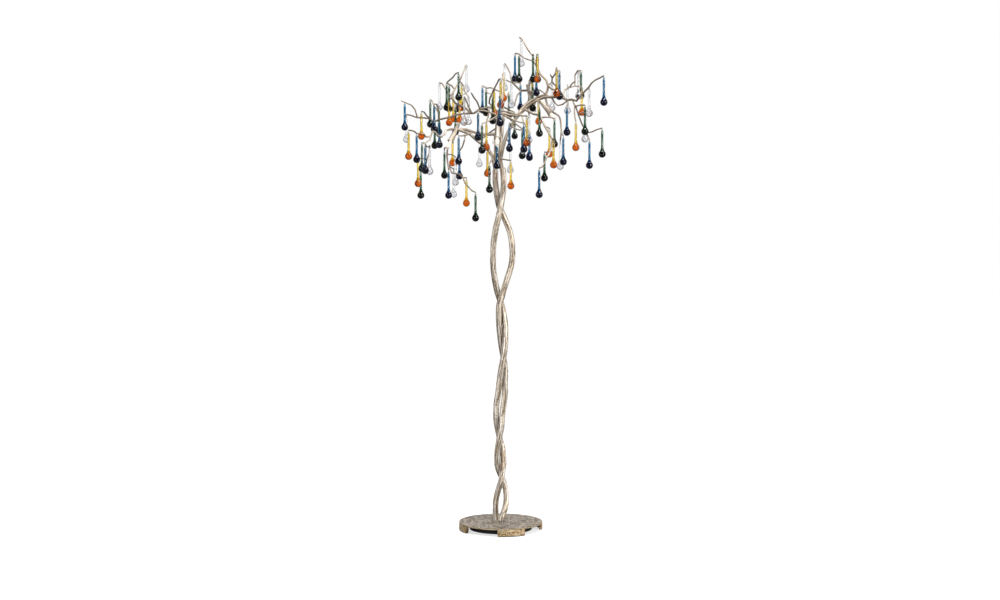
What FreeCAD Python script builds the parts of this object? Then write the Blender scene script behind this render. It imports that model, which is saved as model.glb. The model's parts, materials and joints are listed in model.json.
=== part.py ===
import FreeCAD, Part
import math
import os
from FreeCAD import Placement, Rotation, Vector

# Tree floor lamp, in millimetres, +Z up, origin on the floor under the centre of the base.
#
# A round base disc stands on four segment feet and carries a black weight underneath. Two bent
# tubes wind round each other up to the crown, where limbs and twigs spread out. Glass drops hang
# from small rings under the twigs, and five lamp cups with capsule bulbs light them.

doc = FreeCAD.newDocument("TreeFloorLamp")
sheet = doc.addObject("Spreadsheet::Sheet", "Sizes")

UP = Vector(0, 0, 1)
ACROSS = Vector(1, 0, 0)
FULL_TURN = 360
SIDES = (-1, 1)

# ---------------------------------------------------------------------------------------------
# Driving dimensions
# ---------------------------------------------------------------------------------------------

SIZES = [
    ("disc_radius", 150.0, "base disc"),
    ("disc_thickness", 6.5, ""),
    ("disc_top", 30.0, "height of the disc's top face"),
    ("pad_thickness", 2.0, "felt pad under each foot"),
    ("foot_depth", 13.0, "radial thickness of a foot"),
    ("foot_sweep", 39.0, "angle that one foot covers"),
    ("first_foot", 15.0, "angle of the first foot's middle"),
    ("pad_inset", 1.0, "how far a pad stays inside its foot's edges"),
    ("pad_sweep", 37.0, "angle that one pad covers"),
    ("ballast_radius", 112.0, "weight under the disc"),
    ("ballast_gap", 3.0, "height of the weight's underside"),
    ("well_radius", 58.0, "wiring well in the weight"),
    ("rebate_radius", 66.0, "step that takes the well's cover"),
    ("cover_thickness", 1.6, ""),
    ("cover_play", 0.4, "gap round and under the cover"),
    ("gland_angle", 60.0, "where the supply cord's gland sits"),
    ("gland_bore", 3.6, "radius of the cord's way in"),
    ("gland_hole", 5.2, "radius of the hole for the gland in the weight"),
    ("gland_sleeve", 5.15, "radius of the gland in that hole"),
    ("gland_flange", 8.0, "radius of the gland's flange"),
    ("gland_inner", 90.0, "from the axis to the gland's inner end"),
    ("gland_seat", 112.3, "to its flange"),
    ("gland_end", 116.5, "to its outer end"),
    ("screw_shank", 2.0, "radius of a base screw"),
    ("screw_head", 3.6, ""),
    ("screw_head_height", 2.2, ""),
    ("screw_length", 22.0, "shank length"),
    ("screw_play", 0.2, "gap round a shank where it passes freely"),
    ("sink_play", 0.3, "gap round a sunk head"),
    ("foot_screw_floor", 2.2, "height of a foot screw's head"),
    ("ballast_screw_floor", 3.2, "height of a weight screw's head"),
    ("cover_screw", 1.5, "radius of a cover screw's shank"),
    ("cover_screw_length", 9.0, ""),
    ("cover_screw_head", 2.8, ""),
    ("cover_screw_head_height", 1.4, ""),
    ("block_length", 34.0, "terminal block"),
    ("block_width", 17.0, ""),
    ("block_height", 13.0, ""),
    ("clamp_radius", 2.2, "way in to one clamp of the block"),
    ("clamp_depth", 6.0, ""),
    ("stem_radius", 10.0, "outside of a stem tube"),
    ("stem_bore", 8.3, "inside of a stem tube"),
    ("lead_radius", 2.2, "supply lead in a stem"),
    ("plug_radius", 7.7, "plug in a stem's end"),
    ("plug_height", 10.0, ""),
    ("stud_radius", 4.0, "threaded stud under the plug"),
    ("stud_hole", 4.25, ""),
    ("stud_end", 9.0, "height of the stud's lower end"),
    ("nut_flats", 13.0, "across flats"),
    ("nut_height", 6.5, ""),
    ("washer_radius", 9.0, ""),
    ("washer_thickness", 1.6, ""),
    ("ring_radius", 4.4, "hanging ring, to the middle of its wire"),
    ("ring_wire", 0.75, "radius of that wire"),
    ("ring_sink", 0.4, "how far a ring is sunk in its twig"),
    ("bead_radius", 4.6, "pierced bead at the top of a drop"),
    ("bead_thickness", 3.8, ""),
    ("eye_radius", 1.7, "hole through the bead"),
    ("neck_drop", 3.4, "from the eye down to the neck's shoulder"),
    ("neck_radius", 4.2, "glass stem of a drop"),
    ("flare_start", 50.0, "from the eye down to where the stem widens"),
    ("flare_radius", 9.8, "widened stem where it meets the ball"),
    ("ball_radius", 12.8, ""),
    ("ball_drop", 80.0, "from the eye down to the ball's centre"),
    ("cup_root", 7.0, "lamp cup, radius at its closed end"),
    ("cup_mouth", 12.0, "radius at its mouth"),
    ("cup_length", 56.0, ""),
    ("cup_lip", 11.0, "inner radius at the mouth"),
    ("socket_radius", 7.0, "ceramic socket"),
    ("socket_floor", 18.0, "height of its seat in the cup"),
    ("socket_length", 22.0, ""),
    ("pin_radius", 0.75, "bulb pin"),
    ("pin_hole", 0.82, ""),
    ("pin_spread", 3.2, "from the lamp's axis to a pin"),
    ("pin_length", 11.0, ""),
    ("pinch_radius", 5.2, "sealed foot of the bulb"),
    ("pinch_length", 9.0, ""),
    ("bulb_radius", 6.2, "capsule"),
    ("bulb_length", 30.0, "capsule without its dome"),
    ("bulb_lift", 0.2, "gap between the socket and the bulb"),
    ("sight_distance", 4300.0, "from the eye of the front elevation to the trunk"),
    ("sight_height", 825.0, "height of that eye"),
]

for row, (alias, value, note) in enumerate(SIZES, start=1):
    sheet.set("A%d" % row, alias)
    sheet.set("B%d" % row, str(value))
    sheet.set("C%d" % row, note)
    sheet.setAlias("B%d" % row, alias)
doc.recompute()


def size(alias):
    return float(sheet.get(alias))


# ---------------------------------------------------------------------------------------------
# Helpers
# ---------------------------------------------------------------------------------------------

pieces = []


def keep(item, label):
    """Name one finished sub-part: its label is the name of its file."""
    item.Label = label
    pieces.append(item)
    return item


def bind(item, **rules):
    """Tie properties to the sheet: a double underscore stands for a dot."""
    for name, rule in rules.items():
        item.setExpression(name.replace("__", "."), rule)
    return item


def cylinder(name, radius, height, low="0"):
    """A round post from the height `low` upwards, every size an expression on the sheet."""
    item = doc.addObject("Part::Cylinder", name)
    return bind(item, Radius=radius, Height=height, Placement__Base__z=low)


def cone(name, radius_low, radius_high, height, low="0"):
    item = doc.addObject("Part::Cone", name)
    return bind(item, Radius1=radius_low, Radius2=radius_high, Height=height, Placement__Base__z=low)


def fused(name, members):
    item = doc.addObject("Part::MultiFuse", name)
    item.Shapes = members
    return item


def cut(name, base, tool):
    item = doc.addObject("Part::Cut", name)
    item.Base = base
    item.Tool = tool
    return item


def solid_feature(label, shape):
    """A sub-part whose shape no primitive gives."""
    item = doc.addObject("Part::Feature", label)
    item.Shape = shape
    return keep(item, label)


def copies(label, master, places):
    """A sub-part of identical solids: the master's shape, once at each place."""
    doc.recompute()
    shapes = []
    for place in places:
        shape = master.Shape.copy()
        shape.Placement = place * shape.Placement
        shapes.append(shape)
    return solid_feature(label, Part.makeCompound(shapes))


def holes(name, places, radius, low, high):
    """Tools for round holes along Z, one at each place."""
    tools = []
    for number, place in enumerate(places):
        tool = cylinder("%s_%d" % (name, number), radius, "%s - (%s)" % (high, low), low)
        tool.Placement.Base = Vector(place.x, place.y, 0)
        tools.append(tool)
    return tools


def polar(radius, degrees):
    angle = math.radians(degrees)
    return Vector(radius * math.cos(angle), radius * math.sin(angle), 0)


def around(count, first=0.0):
    """Angles in degrees, evenly spread round the axis."""
    return [first + number * FULL_TURN / count for number in range(count)]


def upright(points, height=0.0, turn=0.0):
    """Placements that stand at the points, all at one height."""
    return [Placement(Vector(point.x, point.y, height), Rotation(UP, turn)) for point in points]


def seen(across, deep, up):
    """A point of the crown or the stems.

    Across and up are read on the front elevation, in the plane through the lamp's axis, and deep
    is the distance behind that plane. The elevation is seen from an eye at a fixed distance, so a
    point behind the plane lies further out than it seems, and one in front lies closer in.
    """
    spread = 1 + deep / size("sight_distance")
    middle = size("sight_height")
    return Vector(across * spread, deep, middle + (up - middle) * spread)


def smooth(points, steps):
    """More points on a soft curve through the given ones."""
    result = []
    last = len(points) - 1
    for index in range(last):
        before = points[max(index - 1, 0)]
        start = points[index]
        end = points[index + 1]
        after = points[min(index + 2, last)]
        for step in range(steps):
            t = step / steps
            curve = start * 2 + (end - before) * t
            curve += (before * 2 - start * 5 + end * 4 - after) * t ** 2
            curve += (start * 3 - before - end * 3 + after) * t ** 3
            result.append(curve * 0.5)
    result.append(points[last])
    return result


LEAST_TURN = 0.001                 # radians: a bend smaller than this is none


def tube_along(points, radii):
    """A rod through the points, with its own radius at each."""
    rings = []
    turn = Rotation()
    heading = UP
    last = len(points) - 1
    for index, point in enumerate(points):
        ahead = points[min(index + 1, last)] - point
        behind = point - points[max(index - 1, 0)]
        if ahead.Length > 0:
            ahead = ahead.normalize()
        if behind.Length > 0:
            behind = behind.normalize()
        tangent = (ahead + behind).normalize()
        if heading.getAngle(tangent) > LEAST_TURN:
            turn = Rotation(heading, tangent) * turn
            heading = tangent
        ring = Part.makeCircle(radii[index])
        ring.Placement = Placement(point, turn)
        rings.append(ring)
    faces = [Part.Face(Part.Wire(ring)) for ring in (rings[0], rings[-1])]
    faces += [Part.makeRuledSurface(low, high) for low, high in zip(rings, rings[1:])]
    skin = Part.Shell(faces)
    skin.sewShape()
    bar = Part.Solid(skin)
    if bar.Volume < 0:
        bar.reverse()
    return bar


# ---------------------------------------------------------------------------------------------
# Base
# ---------------------------------------------------------------------------------------------

DISC_FLOOR = "(Sizes.disc_top - Sizes.disc_thickness)"
FOOT_COUNT = 4
SCREW_STEP = 22.0                  # degrees between the two screws of one foot
BALLAST_SCREW_COUNT = 4
BALLAST_SCREW_RING = 89.0
BALLAST_SCREW_START = 20.0
COVER_SCREW_COUNT = 3
COVER_SCREW_RING = 62.0
COVER_SCREW_START = 30.0

foot_screw_ring = size("disc_radius") - size("foot_depth") / 2
foot_angles = around(FOOT_COUNT, size("first_foot"))
foot_screw_places = [polar(foot_screw_ring, middle + side * SCREW_STEP / 2)
                     for middle in foot_angles for side in SIDES]
ballast_screw_places = [polar(BALLAST_SCREW_RING, angle)
                        for angle in around(BALLAST_SCREW_COUNT, BALLAST_SCREW_START)]
cover_screw_places = [polar(COVER_SCREW_RING, angle)
                      for angle in around(COVER_SCREW_COUNT, COVER_SCREW_START)]
stem_foot_places = [seen(-17, 8, 30), seen(2, -45, 30)]

disc_blank = cylinder("disc_blank", "Sizes.disc_radius", "Sizes.disc_thickness", DISC_FLOOR)
disc_tools = holes("disc_stud_hole", stem_foot_places, "Sizes.stud_hole", "0", "Sizes.disc_top + 1")
disc_tools += holes("disc_foot_hole", foot_screw_places, "Sizes.screw_shank", "0",
                    "Sizes.foot_screw_floor + Sizes.screw_head_height + Sizes.screw_length")
disc_tools += holes("disc_ballast_hole", ballast_screw_places, "Sizes.screw_shank", "0",
                    "Sizes.ballast_screw_floor + Sizes.screw_head_height + Sizes.screw_length")
keep(cut("disc_cut", disc_blank, fused("disc_tools", disc_tools)), "base_disc")

# The weight is a thick black ring. Its middle is the wiring well, with a step for the cover.
COVER_SEAT = "(Sizes.ballast_gap + Sizes.cover_thickness + Sizes.cover_play)"
GLAND_RISE = 1.0                   # the gland sits this far above the middle of the weight's edge
ballast_blank = cylinder("ballast_blank", "Sizes.ballast_radius",
                         DISC_FLOOR + " - Sizes.ballast_gap", "Sizes.ballast_gap")
well = cylinder("well", "Sizes.well_radius", "Sizes.disc_top")
rebate = cylinder("rebate", "Sizes.rebate_radius", COVER_SEAT)
disc_floor = size("disc_top") - size("disc_thickness")
gland_height = (size("ballast_gap") + disc_floor) / 2 + GLAND_RISE
gland_place = Placement(UP * gland_height, Rotation(UP, polar(1, size("gland_angle"))))
gland_hole = doc.addObject("Part::Cylinder", "gland_hole")
bind(gland_hole, Radius="Sizes.gland_hole", Height="Sizes.ballast_radius + 1")
gland_hole.Placement = gland_place
ballast_tools = [well, rebate, gland_hole]
ballast_tools += holes("ballast_hole", ballast_screw_places,
                       "Sizes.screw_shank + Sizes.screw_play", "0", "Sizes.disc_top")
ballast_tools += holes("ballast_sink", ballast_screw_places,
                       "Sizes.screw_head + Sizes.sink_play", "0",
                       "Sizes.ballast_screw_floor + Sizes.screw_head_height")
ballast_tools += holes("ballast_thread", cover_screw_places, "Sizes.cover_screw", "0",
                       COVER_SEAT + " + Sizes.cover_screw_length")
keep(cut("ballast_cut", ballast_blank, fused("ballast_tools", ballast_tools)), "ballast_ring")

# Each foot is a segment of a ring, flush with the rim of the disc, with a pad under it.
first_foot_places = [polar(foot_screw_ring, (size("foot_sweep") + side * SCREW_STEP) / 2)
                     for side in SIDES]
foot_outer = cylinder("foot_outer", "Sizes.disc_radius", DISC_FLOOR + " - Sizes.pad_thickness",
                      "Sizes.pad_thickness")
bind(foot_outer, Angle="Sizes.foot_sweep")
foot_tools = [cylinder("foot_inner", "Sizes.disc_radius - Sizes.foot_depth", "Sizes.disc_top")]
foot_tools += holes("foot_hole", first_foot_places, "Sizes.screw_shank + Sizes.screw_play", "0",
                    "Sizes.disc_top")
foot_tools += holes("foot_sink", first_foot_places, "Sizes.screw_head + Sizes.sink_play", "0",
                    "Sizes.foot_screw_floor + Sizes.screw_head_height")
foot_master = cut("foot_master", foot_outer, fused("foot_tools", foot_tools))
foot_starts = [Placement(Vector(), Rotation(UP, middle - size("foot_sweep") / 2))
               for middle in foot_angles]
copies("base_feet", foot_master, foot_starts)

pad_outer = cylinder("pad_outer", "Sizes.disc_radius - Sizes.pad_inset", "Sizes.pad_thickness")
bind(pad_outer, Angle="Sizes.pad_sweep")
pad_inner = cylinder("pad_inner", "Sizes.disc_radius - Sizes.foot_depth + Sizes.pad_inset",
                     "Sizes.pad_thickness")
pad_master = cut("pad_master", pad_outer, pad_inner)
pad_starts = [Placement(Vector(), Rotation(UP, middle - size("pad_sweep") / 2))
              for middle in foot_angles]
copies("foot_pads", pad_master, pad_starts)

screw_solids = [
    cylinder("screw_head", "Sizes.screw_head", "Sizes.screw_head_height"),
    cylinder("screw_shank", "Sizes.screw_shank", "Sizes.screw_length", "Sizes.screw_head_height"),
]
screw_socket = cylinder("screw_socket", "Sizes.screw_head / 3", "Sizes.screw_head_height / 2")
screw_master = cut("screw_master", fused("screw_solid", screw_solids), screw_socket)
screw_places = upright(foot_screw_places, size("foot_screw_floor"))
screw_places += upright(ballast_screw_places, size("ballast_screw_floor"))
copies("base_screws", screw_master, screw_places)

COVER_FLOOR = "Sizes.ballast_gap + Sizes.cover_play"
cover_blank = cylinder("cover_blank", "Sizes.rebate_radius - Sizes.cover_play",
                       "Sizes.cover_thickness", COVER_FLOOR)
cover_tools = holes("cover_hole", cover_screw_places, "Sizes.cover_screw + Sizes.screw_play",
                    "0", "Sizes.disc_top")
keep(cut("cover_cut", cover_blank, fused("cover_tools", cover_tools)), "base_cover")

cover_screw_master = fused("cover_screw_master", [
    cylinder("cover_screw_head", "Sizes.cover_screw_head", "Sizes.cover_screw_head_height",
             COVER_FLOOR + " - Sizes.cover_screw_head_height"),
    cylinder("cover_screw_shank", "Sizes.cover_screw", "Sizes.cover_screw_length", COVER_FLOOR),
])
copies("cover_screws", cover_screw_master, upright(cover_screw_places))

# The gland: a sleeve in the weight with a flange outside, bored for the supply cord.
gland_body = fused("gland_body", [
    cylinder("gland_sleeve", "Sizes.gland_sleeve", "Sizes.gland_end - Sizes.gland_inner",
             "Sizes.gland_inner"),
    cylinder("gland_flange", "Sizes.gland_flange", "Sizes.gland_end - Sizes.gland_seat",
             "Sizes.gland_seat"),
])
gland_way = cylinder("gland_way", "Sizes.gland_bore", "Sizes.disc_radius")
copies("cable_gland", cut("gland_master", gland_body, gland_way), [gland_place])

# The terminal block: a moulding with two rows of clamps, held under the disc.
BLOCK_CORNER = Vector(-17, 18, 0)
CLAMP_COLUMNS = (5.7, 17.0, 28.3)  # along the block, to the middle of each clamp
CLAMP_ROWS = (4.5, 12.5)
BLOCK_FLOOR = DISC_FLOOR + " - Sizes.block_height"
block_blank = doc.addObject("Part::Box", "block_blank")
block_blank.Placement.Base = BLOCK_CORNER
bind(block_blank, Length="Sizes.block_length", Width="Sizes.block_width",
     Height="Sizes.block_height", Placement__Base__z=BLOCK_FLOOR)
clamp_places = [BLOCK_CORNER + Vector(column, row, 0)
                for column in CLAMP_COLUMNS for row in CLAMP_ROWS]
block_tools = holes("clamp", clamp_places, "Sizes.clamp_radius", "0",
                    BLOCK_FLOOR + " + Sizes.clamp_depth")
keep(cut("block_cut", block_blank, fused("block_tools", block_tools)), "terminal_block")

# ---------------------------------------------------------------------------------------------
# Stems
# ---------------------------------------------------------------------------------------------

# The two tubes pass in front of each other by turns: deep is negative where one is in front.
STEM_LINES = {
    "stem_left": [
        (-17, 8, 30), (-18, 8, 46), (-19, 6, 69), (-18, 2, 105), (-9, -7, 141), (1, -11, 173),
        (6, -9, 206), (10, -1, 238), (8, 7, 285), (2, 11, 307), (-5, 11, 332), (-12, 9, 364),
        (-17, 5, 400), (-16, 0, 447), (-9, -4, 494), (-4, -7, 537), (1, -11, 573), (9, -11, 616),
        (15, -8, 656), (17, -5, 688), (16, 3, 735), (9, 8, 782), (1, 11, 814), (-10, 9, 847),
        (-19, 6, 886), (-26, 1, 933), (-28, -1, 980), (-26, -3, 1030), (-19, -7, 1077),
        (-10, -11, 1117), (-3, -11, 1149), (4, -8, 1185), (10, -2, 1232), (9, 0, 1279),
        (6, 0, 1300),
    ],
    "stem_right": [
        (2, -45, 30), (3, -45, 44), (14, -32, 72), (20, -14, 105), (19, -2, 127), (17, 7, 148),
        (9, 12, 174), (1, 12, 192), (-8, 7, 213), (-13, 1, 238), (-12, -6, 285), (-8, -10, 310),
        (-4, -11, 332), (3, -9, 368), (5, -6, 400), (10, 0, 447), (15, 4, 494), (15, 7, 537),
        (16, 10, 573), (9, 11, 623), (3, 9, 656), (-2, 5, 688), (-6, -3, 735), (-7, -9, 782),
        (-4, -11, 814), (4, -11, 836), (10, -9, 861), (24, -6, 904), (37, -2, 947), (42, 0, 987),
        (40, 2, 1030), (33, 6, 1070), (19, 9, 1106), (4, 11, 1142), (-6, 11, 1163),
        (-14, 8, 1203), (-19, 3, 1250), (-19, 0, 1293),
    ],
}
STEM_STEPS = 2
OVERRUN = 2.0                      # how far a bore's tool runs past the tube's ends
LEAD_SPAN = slice(2, -2)           # a lead runs from above the plug to below the crown


def stem(line, radius, extra=0.0):
    """A round bar along a stem's line, made longer at both ends by `extra`."""
    points = smooth([seen(*point) for point in line], STEM_STEPS)
    if extra:
        points[0] = points[0] - UP * extra
        points[-1] = points[-1] + (points[-1] - points[-2]).normalize() * extra
    return tube_along(points, [radius] * len(points))


leads = []
for label, line in STEM_LINES.items():
    solid_feature(label, stem(line, size("stem_radius")).cut(stem(line, size("stem_bore"), OVERRUN)))
    leads.append(stem(line[LEAD_SPAN], size("lead_radius")))
solid_feature("supply_leads", Part.makeCompound(leads))

# A plug in each tube's end carries a stud, held by a washer and a nut under the disc.
WASHER_FLOOR = DISC_FLOOR + " - Sizes.washer_thickness"
NUT_FLOOR = WASHER_FLOOR + " - Sizes.nut_height"
stud_master = fused("stud_master", [
    cylinder("stem_plug", "Sizes.plug_radius", "Sizes.plug_height", "Sizes.disc_top"),
    cylinder("stud_shank", "Sizes.stud_radius", "Sizes.disc_top - Sizes.stud_end", "Sizes.stud_end"),
])
copies("stem_studs", stud_master, upright(stem_foot_places))
washer_blank = cylinder("washer_blank", "Sizes.washer_radius", "Sizes.washer_thickness", WASHER_FLOOR)
washer_hole = cylinder("washer_hole", "Sizes.stud_hole", "Sizes.disc_top")
copies("stem_washers", cut("washer_master", washer_blank, washer_hole), upright(stem_foot_places))
nut_blank = doc.addObject("Part::Prism", "nut_blank")
nut_blank.Polygon = 6
bind(nut_blank, Circumradius="Sizes.nut_flats / sqrt(3)", Height="Sizes.nut_height",
     Placement__Base__z=NUT_FLOOR)
nut_hole = cylinder("nut_hole", "Sizes.stud_radius", "Sizes.disc_top")
copies("stem_nuts", cut("nut_master", nut_blank, nut_hole), upright(stem_foot_places))

# ---------------------------------------------------------------------------------------------
# Crown: limbs, branches and twigs
# ---------------------------------------------------------------------------------------------

BLUE, GREEN, AMBER, CLEAR = "blue", "green", "amber", "clear"
SWINGS = "swings"                  # this drop is a sub-part of its own, hung on a hinge

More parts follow.
